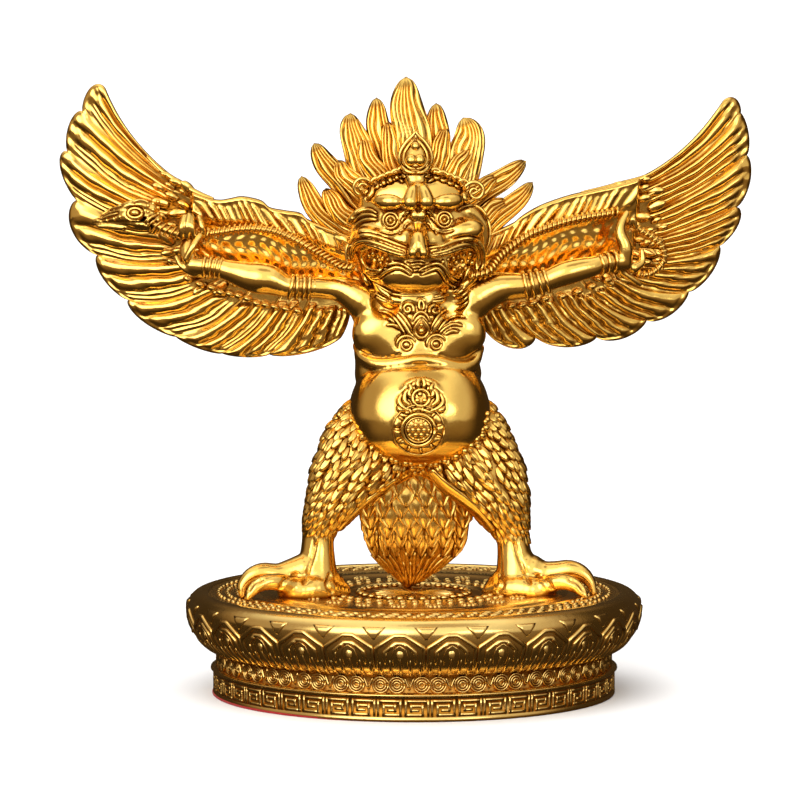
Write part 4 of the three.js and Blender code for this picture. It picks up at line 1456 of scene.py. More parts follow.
@dataclass
class Mane:
    """The flames that stand up round the head.

    Each flame is its root, bend and tip in pixels, its half width in pixels and its depth in millimetres.
    """

    flames: tuple[tuple[Pair, Pair, Pair, float, float], ...] = (
        ((360, 240), (308, 212), (301.5, 176), 11.0, 2.6), ((372, 214), (330, 176), (314, 143), 12.5, 3.0),
        ((380, 190), (350, 152), (350.5, 113), 15.0, 2.6), ((398, 180), (377, 137), (376.5, 97.5), 12.5, 3.1),
        ((414, 176), (409, 130), (406, 76.5), 18.5, 2.5), ((424, 178), (441, 140), (436, 103), 12.5, 3.2),
        ((446, 190), (480, 155), (463, 117.5), 18.0, 2.6), ((452, 216), (494, 184), (526, 161), 11.5, 3.0),
        ((462, 244), (506, 216), (532.5, 182), 11.0, 2.5),
        ((362, 228), (330, 208), (326, 188), 10.0, 1.5), ((366, 194), (344, 178), (338, 160), 9.5, 1.7),
        ((386, 186), (366, 162), (362, 137), 10.0, 1.5), ((400, 178), (388, 150), (388, 121), 9.5, 1.8),
        ((430, 178), (443, 152), (445, 127), 9.5, 1.8), ((444, 188), (464, 166), (470, 147), 10.0, 1.5),
        ((460, 204), (482, 186), (498, 178), 9.0, 1.7), ((472, 226), (490, 210), (507, 200), 9.0, 1.5),
    )
    steps: int = 30
    columns: int = 39
    groove_width: float = 2.5

    def flame(self, root: Pair, bend: Pair, tip: Pair, half: float, depth: float) -> Form:
        """One wavy, grooved flame."""
        s = np.linspace(0, 1, self.steps)[:, None]
        w = np.linspace(-1, 1, self.columns)[None]
        a, b, c = (np.array(p, float) for p in (root, bend, tip))
        axis = a * (1 - s) ** 2 + 2 * b * s * (1 - s) + c * s**2
        side = unit(np.gradient(axis, axis=0)[:, ::-1] * [-1, 1])
        wide = half * (1.2 - 0.28 * s) * (1 - s**6) ** 0.6
        sway = 0.13 * half * np.sin(FULL_TURN * (1.15 * s + 0.13 * tip[0])) * s * (1 - s) * 4
        pixels = axis[:, None] + side[:, None] * (w * wide + sway)[..., None]
        count = max(4, round(half / self.groove_width))
        waver = 0.12 * np.sin(
            3.3 * w + tip[1]
        ) + 0.08 * np.sin(6 * s + tip[0]) + 0.04 * np.sin(15 * s + 4 * w)
        ridges = np.abs(np.cos(math.pi * count / 2 * (w + waver))) ** 0.42
        dome = np.sqrt(np.clip(1 - w**2, 0, 1))
        rise = 0.3 + 0.6 * dome * (1 - 0.35 * s) + 0.62 * ridges * (0.45 + 0.55 * dome) * ease(1 - s, 0, 0.12)
        lean = depth + 1.6 * s**2 + 0 * w
        column, row = pixels[..., 0], pixels[..., 1]
        front = lean - rise * (0.25 + 0.75 * ease(1 - s, 0, 0.05))
        back = lean + 0.35 + 0.4 * dome + 0.1 * ridges * dome
        return slab(EYE.at(column, row, front), EYE.at(column, row, back))

    def build(self, material: bpy.types.Material) -> None:
        """Makes the mane."""
        made = Casting("mane")
        made.add(*(self.flame(*flame) for flame in self.flames))
        made.finish(material)


@dataclass
class Snake:
    """The snake held in both hands and in the beak. Its line is given by pixels and depths."""

    left: tuple[Triple, ...] = (
        (352, 268, -3.6), (340, 267, -2.8), (328, 259, -1.4), (313, 250, 0.2), (298, 241, 0.9),
        (280, 233, 1.3), (262, 229, 1.6), (240, 229, 1.9), (220, 232, 2.2), (203, 234, 2.4),
    )
    right: tuple[Triple, ...] = (
        (470, 276, -3.6), (488, 271, -2.8), (499, 257, -1.0), (513, 245, 0.2), (530, 234, 0.9),
        (548, 227, 1.3), (566, 221, 1.7), (585, 217, 2.1), (604, 214, 2.4), (616, 212, 2.6),
    )
    tail: tuple[Triple, ...] = (
        (628, 222, 2.6), (640, 230, 2.8), (652, 237, 3.2), (661, 246, 3.6), (664, 257, 3.8), (659, 267, 3.8),
        (648, 274, 3.6), (638, 274, 3.4),
    )
    neck: tuple[Triple, ...] = (
        (206, 234, 2.4), (192, 235, 2.2), (176, 233, 2.3), (160, 227, 2.8), (148, 220, 3.3),
    )
    pitch: float = 0.66
    radius: float = 0.84
    tail_radius: float = 0.66
    neck_radius: float = 1.05
    proud: float = 0.5
    marks: tuple[Line, ...] = (
        [(122, 205), (112, 209), (103, 214), (98, 219)], [(150, 203), (141, 200), (132, 202)],
        [(118, 213), (108, 216), (100, 220)], [(158, 214), (150, 218), (146, 224)],
        [(150, 233), (138, 233), (124, 230)], [(160, 222), (154, 228), (152, 233)],
    )
    skull: Steps = (
        ("cord", [
            (152, 222, 3.3, 1.45), (140, 218, 3.6, 1.6), (127, 216, 4.1, 1.35), (111, 219, 4.8, 0.9),
            (96, 222, 5.6, 0.5),
        ], 0.4),
        ("cord", [
            (152, 209, 3.1, 0.7), (138, 204, 3.2, 0.7), (122, 208, 3.8, 0.55), (106, 216, 4.7, 0.35),
        ], 0.25),
        ("cord", [
            (154, 230, 3.2, 0.6), (138, 229, 3.5, 0.6), (118, 227, 4.2, 0.5), (99, 226, 5.1, 0.3),
        ], 0.2),
        ("mass", (135, 213, 2.8), (0.8, 0.7, 0.62), 0.1), ("ring", (135, 213), (7.0, 4.8), 0.2, 0.05),
        ("groove", [(146, 223), (128, 222.5), (108, 222.5), (94, 223)], 0.17),
    )

    def scaled(self, places: tuple[Triple, ...], radius: float) -> Form:
        """A stretch of the body as ridges set close together."""
        path = EYE.spot(curve(places, 120)) + self.proud * FRONT
        run = np.concatenate([[0], np.cumsum(np.linalg.norm(np.diff(path, axis=0), axis=1))])
        count = int(run[-1] / self.pitch)
        stops = np.linspace(0, run[-1], count)
        middle = np.stack([np.interp(stops, run, path[:, k]) for k in range(3)], -1)
        along, _, out = follow(middle)
        frames = laid(along + 0.35 * np.cross(along, out), out, 0.22, radius, radius)
        core = rope(path[::4], radius * 0.52, sides=8)
        both = Casting("stretch")
        both.add(core, stamp(ball(10, 6), middle, frames))
        return both.whole()

    def head(self) -> Carver:
        """The head, which lies over the wing, with its brow, eye, mouth and scales."""
        c = Carver("snake", (-44.5, 2.0, 59.5), (-31.5, 9.5, 68.0), 0.15)
        c.work(self.skull)
        for line in self.marks:
            c.stroke(line, 0.19, 0.05)
        scales = [(148 + 5 * k, 206 + 6 * j - 2 * k) for k in range(3) for j in range(4)]
        c.dots(scales + [(114, 219), (107, 220.5), (120, 217)], 0.3, -0.05)
        return c

    def build(self, material: bpy.types.Material) -> None:
        """Makes the snake."""
        c = self.head()
        c.made.add(self.scaled(self.left, self.radius), self.scaled(self.right, self.radius))
        c.made.add(self.scaled(self.tail, self.tail_radius), self.scaled(self.neck, self.neck_radius))
        c.finish(material)


def arc(middle: Pair, reach: Pair, start: float, end: float, count: int = 7) -> list[Pair]:
    """Pixels on an arc, its angles in degrees from the right and growing upward."""
    turn = np.radians(np.linspace(start, end, count))
    return [(middle[0] + reach[0] * math.cos(a), middle[1] - reach[1] * math.sin(a)) for a in turn]


@dataclass
class Torso:
    """The trunk, the bare belly with its wheel and flaming jewel, and the chest with its pendant."""

    wheel: Pair = (418.5, 430.0)
    jewel: Pair = (421.0, 398.0)
    bulk: tuple[tuple[Triple, Triple], ...] = (
        ((416, 452, -0.2), (6.6, 4.2, 2.6)), ((416, 454, 1.8), (6.2, 2.6, 3.4)),
        ((416, 428, 0.6), (6.8, 3.4, 4.6)), ((418.5, 374, -1.0), (8.3, 4.4, 3.2)),
        ((417, 400, -0.9), (8.2, 5.0, 7.2)), ((417, 350, -0.9), (8.3, 5.0, 7.0)),
        ((416, 318, -0.6), (8.2, 4.3, 4.4)), ((413, 300, -1.4), (5.4, 3.6, 4.0)),
    )
    roll: tuple[Knot, ...] = (
        (357, 346, -1.9, 0.6), (363, 357, -3.4, 0.75), (378, 364.5, -4.8, 0.85), (400, 363.5, -5.8, 0.8),
        (419, 359.5, -6.2, 0.55), (438, 362.5, -5.8, 0.8), (458, 368, -4.8, 1.0), (473, 363, -3.4, 0.85),
        (480, 348, -1.9, 0.6),
    )
    left_arm: tuple[Knot, ...] = (
        (381, 316, -1.5, 2.7), (362, 301, -1.5, 2.4), (344, 290.5, -1.3, 1.8), (326, 288, -1.2, 1.45),
        (304, 287.5, -1.4, 1.35),
    )
    right_arm: tuple[Knot, ...] = (
        (456, 313, -1.5, 2.9), (474, 299, -1.5, 2.7), (491, 290, -1.3, 2.25), (506, 287, -1.2, 1.9),
        (526, 286, -1.3, 1.65),
    )
    belly: Steps = (
        ("mass", (419.5, 409, -2.3), (9.0, 7.0, 7.15), 0.1, 0.0, False, 2.4),
        ("mass", (419.5, 419, -2.8), (9.1, 7.3, 5.95), 1.2, 0.0, False, 2.35),
        ("mass", (417.5, 372, 0.8), (7.2, 3.7, 7.5), 1.8),
        ("cord", [
            (396, 481, -0.4, 0.6), (406, 473, -1.0, 0.9), (417, 468, -1.3, 1.0), (428, 472, -1.2, 0.9),
            (438, 480, -1.0, 0.6),
        ], 0.5),
    )
    collar: Steps = (
        ("mass", (421, 347, -5.1), (3.2, 0.7, 1.55), 0.2), ("mass", (422, 322, -4.5), (3.0, 1.3, 2.2), 0.3),
    )
    breast_folds: Steps = (
        ("groove", [(362, 352), (372, 357), (386, 358), (400, 355)], 0.2),
        ("groove", [(440, 355), (452, 359), (466, 359), (477, 351)], 0.2),
    )
    tear: Line = (
        (421, 318), (416, 325), (414.5, 331), (417.5, 336), (421.5, 337.5), (425.5, 336), (428.5, 331),
        (427, 325), (422, 318),
    )
    pearls: Steps = (("dots", [(421.5, 331)], 0.48, 0.1), ("dots", [(421.5, 325)], 0.3, 0.1))
    scrolls: tuple[Line, ...] = (
        [(379, 311), (388, 313), (396, 320), (402, 329), (406, 336)],
        [(386, 325), (394, 325), (402, 330), (405, 337)], [(397, 311), (403, 316), (409, 325), (413, 333)],
        [(466, 317), (456, 316), (446, 321), (438, 331)], [(463, 326), (454, 324), (445, 328), (438, 335)],
        [(447, 309), (440, 314), (434, 323), (430, 332)], [(383, 318), (390, 319), (397, 326)],
        [(459, 332), (452, 331), (444, 335)], [(467, 286), (460, 292), (453, 294)],
        [(468, 291), (461, 297), (454, 299)], [(468, 296), (462, 302), (455, 304)],
        [(468, 301), (462, 307), (456, 309)],
    )
    curls: Steps = (
        ("spiral", (408, 309), 6, -30, 1.4, 0.24), ("spiral", (435, 310), 6, 210, -1.4, 0.24),
        ("stroke", [(421, 311), (419, 306), (421, 300), (424, 306), (422, 311)], 0.22),
    )
    tongues: tuple[Line, ...] = (
        [(9, 13), (17, 10), (22, 3), (19, -5)], [(10, 8), (16, 3), (16, -4), (12, -9)],
        [(9, 1), (12, -4), (10, -10), (13, -15)], [(6, -7), (8, -12), (5, -17)],
        [(12, 12), (20, 12), (24, 8)], [(2, -9), (3.5, -15), (0.5, -21)],
    )
    wheel_foot: Line = ((402, 411), (408, 412.5), (419, 409), (431, 412.5), (438, 411))
    sash: Line = (
        (346, 414), (350, 429), (358, 443), (370, 454), (390, 463), (418, 468), (446, 464), (466, 455),
        (478, 444), (487, 430), (491, 415),
    )
    spine: Line = ((416, 305), (417, 340), (418, 380), (418, 430))

    def shape(self, c: Carver) -> None:
        """The rounded masses of the trunk."""
        for place, radii in self.bulk:
            c.mass(place, radii, 1.2)
        c.cord(self.left_arm, 1.0)
        c.cord(self.right_arm, 1.0)
        for column, lean in ((384, -6), (454, 6)):
            c.mass((column, 334, -2.9), (4.2, 2.3, 3.0), 0.8, lean, False, 2.4)
        c.work(self.belly)
        c.cord(self.roll, 0.12)
        for place in ((385, 301, -4.4), (450, 303, -4.4)):
            c.mass(place, (1.9, 1.7, 2.3), 0.4, 0.0, True)
        c.work(self.collar)

    def chest(self, c: Carver) -> None:
        """The pendant on the chest, with its scrolls and curls."""
        c.work(self.breast_folds)
        for middle in ((406.5, 345), (436.5, 344)):
            c.stroke(arc(middle, (9.5, 9), 200, 20, 9), 0.2)
            c.ring(middle, (5.0, 4.8), 0.14)
        c.stroke(self.tear, 0.2, 0.25)
        c.work(self.pearls)
        for line in self.scrolls:
            c.stroke(line, 0.2)
        c.stroke(arc((421, 326), (9, 14), 15, 165, 9), 0.2)
        c.work(self.curls)

    def emblem(self, c: Carver) -> None:
        """The wheel and the flaming jewel on the belly."""
        (x, y), (jx, jy) = self.wheel, self.jewel
        c.bed = 0.06
        c.mass((jx, jy - 2, -8.65), (2.9, 0.9, 2.5), 0.3)
        for reach, radius in ((26.0, 0.11), (16.5, 0.26), (13.0, 0.12)):
            c.ring(self.wheel, (reach, reach * 0.96), radius)
        for angle in np.arange(11) * 360 / 11 + 14:
            ends = [arc(self.wheel, (reach, reach * 0.96), angle, angle, 1)[0] for reach in (19.0, 24.0)]
            c.lay(np.linspace(*ends, 4), 0.17, 0.02)
        lattice = [(x, y)] + arc(self.wheel, (5.6, 5.4), 0, 300, 6)
        c.dots(lattice, 0.36, -0.12)
        c.dots(arc(self.wheel, (10.3, 10), 0, 330, 12), 0.24, -0.06)
        c.ring(self.jewel, (8.4, 8.4), 0.24, 0.05)
        c.dots([(jx - 1, jy - 3.5), (jx - 3.6, jy + 2.6), (jx + 3.6, jy + 2.6)], 0.42, -0.1)
        for side in (1, -1):
            for tongue in self.tongues:
                c.stroke([(jx + side * dx, jy + dy) for dx, dy in tongue], 0.32, 0.1, 8)
        c.stroke(self.wheel_foot, 0.26)

    def belt(self, c: Carver) -> None:
        """The rows of beads under the belly."""
        for k, (shift, size) in enumerate(((-3.0, 0.34), (1.2, 0.40), (5.2, 0.34))):
            path = curve(self.sash, 56 - 3 * k)
            down = np.stack([path[:, 0] - 418, path[:, 1] - 400], -1)
            step = np.arange(len(path))
            path = path + unit(down) * (shift + 1.3 * np.sin(step * 1.9 + k))[:, None]
            c.dots(path, size * (1.1 + 0.4 * np.sin(step * 2.3 + k)), -0.15)

    def back(self, c: Carver) -> None:
        """The plainer back: the line of the spine and two shoulder lines."""
        c.behind = True
        c.groove(self.spine, 0.3, 0.5)
        for side in (1, -1):
            c.stroke(
                [(417 + side * x, y) for x, y in ((12, 308), (30, 318), (34, 336), (18, 350))], 0.3, -0.12, 8,
            )

    def build(self, material: bpy.types.Material) -> None:
        """Makes the trunk."""
        c = Carver("torso", (-15.0, -11.2, 25.5), (16.0, 5.8, 58.5), 0.245)
        self.shape(c)
        self.chest(c)
        self.emblem(c)
        self.belt(c)
        self.back(c)
        c.finish(material)


@dataclass
class Arm:
    """A forearm with its rings and the hand that holds the snake. Places are pixels and depths."""

    name: str
    low: Triple
    high: Triple
    limb: tuple[Knot, ...]
    rings: tuple[tuple[float, float, float, float, float], ...]
    hand: tuple[tuple[Knot, ...], ...]

    def build(self, material: bpy.types.Material) -> None:
        """Makes the forearm and hand."""
        c = Carver(self.name, self.low, self.high, 0.185)
        c.cord(self.limb, 0.4)
        for cord in self.hand:
            c.cord(cord, 0.22)
        path = EYE.spot([row[:3] for row in self.limb])
        run = path[-1] - path[0]
        for column, row, depth, radius, thick in self.rings:
            middle = EYE.spot((column, row, depth))
            nearest = int(np.argmin(np.linalg.norm(path - middle, axis=1)))
            near = np.clip([nearest - 1, nearest + 1], 0, len(path) - 1)
            axis = path[near[1]] - path[near[0]] + 0.2 * run / len(path)
            c.made.add(hoop(middle, axis, radius, thick))
        c.finish(material)


LEFT_ARM = Arm(
    "arm_left", (-31.5, -4.2, 52.0), (-13.0, 4.6, 64.5),
    (
        (312, 287.5, -1.4, 1.35), (303, 287, -1.4, 1.3), (285, 286, -1.5, 1.45), (270, 280, -1.3, 1.92),
        (259, 278.5, -1.2, 2.05), (248, 276.5, -0.9, 1.85), (238, 273.5, -0.7, 1.6), (229, 271, -0.4, 1.38),
        (218, 268, 0.0, 1.25), (206, 266.5, 0.4, 1.2), (192, 265.5, 0.8, 1.3),
    ),
    (
        (309, 287.5, -1.4, 1.48, 0.27), (303.5, 287.5, -1.4, 1.48, 0.27), (296.5, 287.3, -1.45, 1.48, 0.27),
        (291, 287, -1.5, 1.48, 0.27), (221, 268.5, -0.1, 1.24, 0.22), (216.5, 267.5, 0.1, 1.26, 0.22),
        (211, 266.7, 0.2, 1.28, 0.24), (205, 266.2, 0.4, 1.26, 0.24),
    ),
    (
        ((200, 266, 0.6, 1.1), (191, 263, 0.8, 1.15), (187, 250, 1.6, 1.0), (190, 238, 2.2, 0.8)),
        ((186, 259, -0.3, 0.44), (192, 248, -0.4, 0.46), (200, 236, 0.3, 0.42)),
        ((182, 237, 1.0, 0.36), (181.5, 227, 0.7, 0.38), (184, 217, 1.3, 0.34)),
        ((188, 237, 0.9, 0.36), (187.5, 226, 0.6, 0.38), (189, 215, 1.2, 0.34)),
        ((195, 238, 1.0, 0.36), (192, 227, 0.7, 0.38), (192, 217, 1.3, 0.34)),
        ((204, 236, 1.2, 0.36), (202, 227, 0.8, 0.38), (199, 217, 1.4, 0.32)),
        ((176, 257, 0.8, 0.3), (181, 266, 0.2, 0.32), (190, 273, 0.2, 0.3), (203, 276, 0.4, 0.3)),
    ),
)
RIGHT_ARM = Arm(
    "arm_right", (15.0, -4.2, 52.5), (32.5, 5.0, 66.0),
    (
        (518, 286.5, -1.3, 1.68), (530, 285, -1.3, 1.6), (546, 281, -1.4, 1.42), (556, 277, -1.4, 1.5),
        (567, 273, -1.3, 1.6), (580, 269.5, -1.0, 1.52), (591, 267, -0.7, 1.36), (600, 264, -0.3, 1.2),
        (613, 262, 0.3, 1.15), (624, 262, 0.8, 1.15),
    ),
    (
        (525, 286, -1.3, 1.8, 0.27), (532, 284.5, -1.3, 1.76, 0.27), (539.5, 282.5, -1.35, 1.66, 0.27),
        (546, 280.5, -1.4, 1.55, 0.27), (600, 264.5, -0.3, 1.3, 0.24), (606.5, 262.5, 0.0, 1.3, 0.24),
        (613.5, 261, 0.3, 1.3, 0.24),
    ),
    (
        (
            (612, 265, 0.7, 1.15), (623, 259, 0.7, 1.15), (625, 247, 0.5, 1.02), (620.5, 235, 0.6, 0.82),
            (621, 225, 0.9, 0.62), (627, 213, 1.4, 0.36),
        ),
        ((634, 268, 0.8, 0.7), (642, 262, 1.2, 0.5), (642, 251, 1.4, 0.35)),
        ((622, 272, 0.9, 0.45), (632, 279, 1.2, 0.45), (640, 284, 1.6, 0.35)),
        ((630, 224, 1.4, 0.34), (633, 219, 1.2, 0.34), (636, 227, 1.4, 0.32)),
    ),
)


@dataclass
class Head:
    """The head: brows, ringed eyes, hooked nose, curling lips and the low beak, with a jewel on the brow."""

    skull: tuple[tuple[Triple, Triple], ...] = (
        ((415, 236, -1.6), (8.5, 4.7, 6.6)), ((414, 262, -2.0), (7.2, 4.4, 4.4)),
        ((415, 203, -1.3), (7.3, 3.4, 4.2)), ((410, 292, -0.9), (5.6, 3.8, 3.4)),
    )
    eyes: tuple[Pair, Pair] = ((390.5, 220.5), (444.5, 219.5))
    jewel: Pair = (415.5, 156.0)
    teeth: Line = (
        (369, 256), (373, 253.5), (378, 256.5), (383, 258), (388, 259.5), (393, 262), (375, 260.5),
        (381, 263), (387, 264), (443, 262), (448, 259.5), (453, 258), (458, 256.5), (464, 255), (470, 254),
        (450, 264.5), (456, 262.5), (462, 261), (468, 261), (454, 270), (460, 268), (466, 268.5), (472, 263),
        (461, 275),
    )
    brows: Steps = (
        ("mass", (414, 240, -4.9), (4.6, 2.6, 2.2), 0.9),
        ("mass", (379, 237, -4.6), (3.0, 1.7, 1.2), 0.6, -14),
        ("mass", (461, 232, -4.6), (3.1, 1.9, 1.7), 0.5, 12),
        ("cord", [
            (374, 201, -4.6, 0.45), (382, 201.5, -5.5, 0.95), (392, 202, -6.1, 1.0), (401, 202, -6.2, 0.45),
        ], 0.22),
        ("cord", [
            (435, 202, -6.2, 0.45), (444, 202, -6.1, 1.0), (455, 200.5, -5.5, 0.95), (464, 199, -4.6, 0.45),
        ], 0.22),
        ("cord", [(416, 184, -4.6, 0.7), (412.8, 193, -5.9, 0.95), (410.5, 202, -6.6, 1.12)], 0.2),
        ("cord", [(420.5, 184, -4.6, 0.7), (424, 193, -5.9, 0.95), (426.5, 201.5, -6.6, 1.12)], 0.2),
        ("cord", [
            (373, 208, -4.9, 0.2), (382, 212.5, -5.6, 0.26), (393, 213.5, -6.0, 0.26), (404, 208, -6.5, 0.24),
        ], 0.2, True, 1.5),
        ("cord", [
            (432, 208, -6.5, 0.24), (443, 213.5, -6.0, 0.26), (454, 211.5, -5.6, 0.26), (464, 206, -4.9, 0.2),
        ], 0.2, True, 1.5),
    )
    bridge: Steps = (("mass", (418.3, 213, -5.3), (2.0, 1.1, 1.5), 0.3),)
    beak: Steps = (
        ("mass", (417.8, 242, -6.3), (3.3, 1.3, 1.7), 0.7),
        ("cord", [
            (418, 222, -5.6, 0.45), (417.6, 231, -6.6, 0.8), (417.8, 239, -7.7, 1.12), (418, 247, -8.4, 1.28),
        ], 0.8),
        ("mass", (412.6, 252, -8.9), (0.72, 0.9, 0.85), 0.14, -6),
        ("mass", (423.2, 252.4, -8.9), (0.68, 0.9, 0.8), 0.14, 6),
        ("groove", [(417.6, 243), (417.8, 250), (418, 256)], 0.13),
    )
    jaws: Steps = (
        ("cord", [
            (403, 253, -7.4, 0.75), (390, 248.5, -6.8, 0.8), (375, 243, -5.8, 0.8), (362, 240, -4.5, 0.75),
            (353, 246, -3.3, 0.6), (350, 258, -2.8, 0.5),
        ], 0.25),
        ("cord", [
            (433, 253, -7.4, 0.75), (446, 249.5, -6.8, 0.85), (460, 245, -5.8, 0.85), (472, 245, -4.5, 0.8),
            (480, 253, -3.3, 0.65), (479, 266, -2.8, 0.5),
        ], 0.25),
        ("cord", [(481, 258, -2.7, 0.5), (476, 274, -2.9, 0.6), (463, 287, -3.1, 0.6)], 0.3),
        ("mass", (414.5, 272, -4.4), (5.0, 2.6, 2.9), 0.3),
        ("mass", (375, 259, -4.7), (1.9, 2.4, 1.3), 0.3, -10, True),
        ("mass", (461, 264.5, -4.5), (1.85, 2.3, 1.75), 0.3, 8, True),
        ("mass", (416, 262, -7.2), (3.4, 1.2, 0.75), 0.25, 0.0, True),
        ("mass", (417, 267, -6.0), (1.9, 1.0, 1.1), 0.3),
        ("mass", (398, 285, -8.3), (2.35, 1.6, 1.5), 0.4, 10, True),
        ("mass", (431.5, 285, -8.3), (2.25, 1.6, 1.5), 0.4, -8, True),
    )
    bands: tuple[tuple[Line, float], ...] = (
        ([
            (407, 248), (395, 243.5), (380, 238), (366, 235), (355, 238), (347.5, 246), (346, 257),
            (350, 269),
        ], 0.27),
        ([(405, 253), (391, 248.5), (377, 243.5), (365, 241), (356, 243.5), (351.5, 250), (352, 260)], 0.24),
        ([
            (428, 248), (441, 246), (455, 241), (467, 238.5), (477, 241), (483.5, 250), (483.5, 264),
            (478, 274),
        ], 0.27),
        ([(431, 254), (445, 251), (457, 246.5), (467, 244.5), (475, 247.5), (479, 256), (478.5, 266)], 0.24),
    )
    lips: tuple[Line, ...] = (
        [(367, 273), (376, 273), (384, 267), (395, 263), (405, 265.5), (413, 271.5)],
        [(371, 278), (379, 277), (387, 271), (396, 267.5), (404, 269.5), (411, 275)],
        [(418, 271), (427, 266), (437, 263.5), (444, 268), (450, 277), (460, 283)],
        [(421, 275), (430, 270.5), (437, 268.5), (442, 273), (446.5, 281), (456, 288)],
    )
    chin: Steps = (
        ("stroke", [(391, 293.5), (403, 295.5), (415, 296), (429, 295), (440, 292.5)], 0.24, 0.1),
        ("cord", [(393, 300, -3.9, 0.7), (415, 301, -4.2, 0.8), (440, 299, -3.9, 0.7)], 0.2),
    )
    folds: tuple[Line, ...] = (
        [(374, 283), (384, 289), (394, 294), (404, 297)], [(463, 286), (453, 292), (442, 297), (432, 299)],
        [(370, 289), (381, 297), (392, 302)],
    )
    frown: Line = ((417.8, 186), (417.8, 195), (418, 208))
    left_ear: Steps = (
        ("cord", [
            (384, 214, -3.4, 0.4), (372, 214, -3.0, 0.75), (360, 214, -2.4, 0.8), (350, 221, -1.6, 0.5),
        ], 0.25),
    )
    right_ear: Steps = (
        ("cord", [
            (460, 212, -3.2, 0.7), (470, 213, -2.4, 1.15), (481, 225, -1.8, 1.15), (484.5, 240, -1.8, 0.9),
            (481, 254, -2.2, 0.4),
        ], 0.15),
        ("stroke", [
            (458, 210), (466, 206), (476, 206), (484.5, 213), (489.5, 226), (489.5, 241), (484, 255),
        ], 0.22, 0.05),
        ("spiral", (362, 188), 11.5, -60, 1.9, 0.32), ("spiral", (475, 192), 12.5, 240, -1.6, 0.34),
    )

    def face(self, c: Carver) -> None:
        """The rounded masses of the face."""
        for place, radii in self.skull:
            c.mass(place, radii, 0.8)
        c.work(self.brows)
        for x, y in self.eyes:
            c.mass((x, y, -5.5), (1.12, 1.15, 1.1), 0.15)
        c.work(self.bridge)
        for x in (414.6, 422.0):
            c.mass((x, 215.5, -6.4), (0.56, 0.5, 0.72), 0.12)
        c.work(self.beak)

    def mouth(self, c: Carver) -> None:
        """The mouth, its lips and the low beak."""
        c.work(self.jaws)
        for line, radius in self.bands:
            c.stroke(line, radius, 0.1, 8)
        sizes = 0.3 + 0.08 * np.sin(np.arange(len(self.teeth)) * 2.4)
        c.made.add(beads(c.clay.face(np.array(self.teeth), 0.05), sizes, 1.3, 8, 5))
        for line in self.lips:
            c.stroke(line, 0.25, 0.08, 8)
        for k in range(4):
            c.stroke([(408 + k, 262 + 3.2 * k), (418, 260.5 + 3.2 * k), (428 - k, 262 + 3.2 * k)], 0.16)
        c.work(self.chin)
        for line in self.folds:
            c.stroke(line, 0.17, 0.02)

    def brow(self, c: Carver) -> None:
        """The rings of the eyes, the lines by them, the ears and the temple spirals."""
        for x, y in self.eyes:
            c.ring((x, y), (7.4, 7.7), 0.17, 0.05, 8)
            c.ring((x, y), (4.2, 4.4), 0.13, 0.04)
            c.dots([(x, y)], 0.22, 0.08)
            c.stroke([(x - 9, y + 11), (x, y + 13), (x + 9, y + 11)], 0.13)
        c.groove(self.frown, 0.2)
        for side in (1, -1):
            for x, y in ((9, 212), (12, 217), (9, 223), (14, 229)):
                c.stroke([
                    (418 + side * x, y), (418 + side * (x + 3), y + 1.5), (418 + side * (x + 4.5), y + 5),
                ], 0.13)
        c.work(self.left_ear)
        for k in range(3):
            c.stroke([
                (377, 213 + 3.4 * k), (370, 210 + 4.6 * k), (361, 210.5 + 5.4 * k), (352 + k, 217 + 5.6 * k),
            ], 0.23, 0.05, 8)
        c.work(self.right_ear)
        for k in range(5):
            c.spiral((376 + k * 6.6, 184.5 - k * 2.7), 8.0, 0, 1.1, 0.3)
            c.spiral((436 + k * 7, 175 + k * 2.8), 7.5, 180, -1.1, 0.28)

    def crown(self, c: Carver) -> None:
        """The jewel over the brow, in its pointed frame."""
        x, y = self.jewel
        c.cord([
            (x, 182, -4.6, 1.1), (x, 172, -4.1, 1.7), (x, 160, -3.4, 1.75), (x, 146, -2.7, 1.0),
        ], 0.4, False, 0.6)
        line = [
            (x, y + 17), (x - 9, y + 15), (x - 15.5, y + 7), (x - 15, y - 4), (x - 9, y - 14),
            (x - 3, y - 20), (x, y - 25),
        ]
        for side in (1, -1):
            c.stroke([(x + side * (a - x), b) for a, b in line], 0.34, 0.05, 8)
            c.stroke([(x + side * (a - x) * 0.74, y + (b - y) * 0.76) for a, b in line], 0.2, 0.0, 8)
        c.dots([(x, y - 9.5)], 0.66, -0.1)
        c.dots([(x - 4.2, y + 4.5), (x + 4.2, y + 4.5)], 0.86, -0.2)
        for side in (-1, 1):
            c.stroke([(x + side * 10, 177), (x + side * 19, 172), (x + side * 28, 175)], 0.32)
            c.stroke([(x + side * 12, 182), (x + side * 22, 178), (x + side * 32, 182)], 0.28)

    def hair(self, c: Carver) -> None:
        """Plain strands of hair down the back of the head."""
        c.behind = True
        for lean in np.linspace(-1, 1, 13):
            rows = np.linspace(186, 296, 7)
            width = 58 * np.sqrt(1 - ((rows - 236) / 84) ** 2)
            c.stroke([(415 + lean * wide, row) for wide, row in zip(width, rows)], 0.38, 0.0, 8)

    def build(self, material: bpy.types.Material) -> None:
        """Makes the head."""
        c = Carver("head", (-11.0, -10.8, 49.5), (11.0, 5.0, 75.5), 0.195)
        self.face(c)
        self.mouth(c)
        self.brow(c)
        self.crown(c)
        self.hair(c)
        c.finish(material)


def ringed(rows: Array, turns: Array) -> Array:
    """Points round a limb given by rows of pixels.

    Args:
        rows: For each point, the pixel row, the columns of its two edges, its depth and its half depth.
        turns: For each point, the turn about the limb: 0 to the right and a quarter towards the viewer.

    Returns:
        The points.
    """
    middle, half = (rows[..., 1] + rows[..., 2]) / 2, (rows[..., 2] - rows[..., 1]) / 2
    column = middle + half * np.cos(turns)
    return EYE.at(column, rows[..., 0], rows[..., 3] - rows[..., 4] * np.sin(turns))


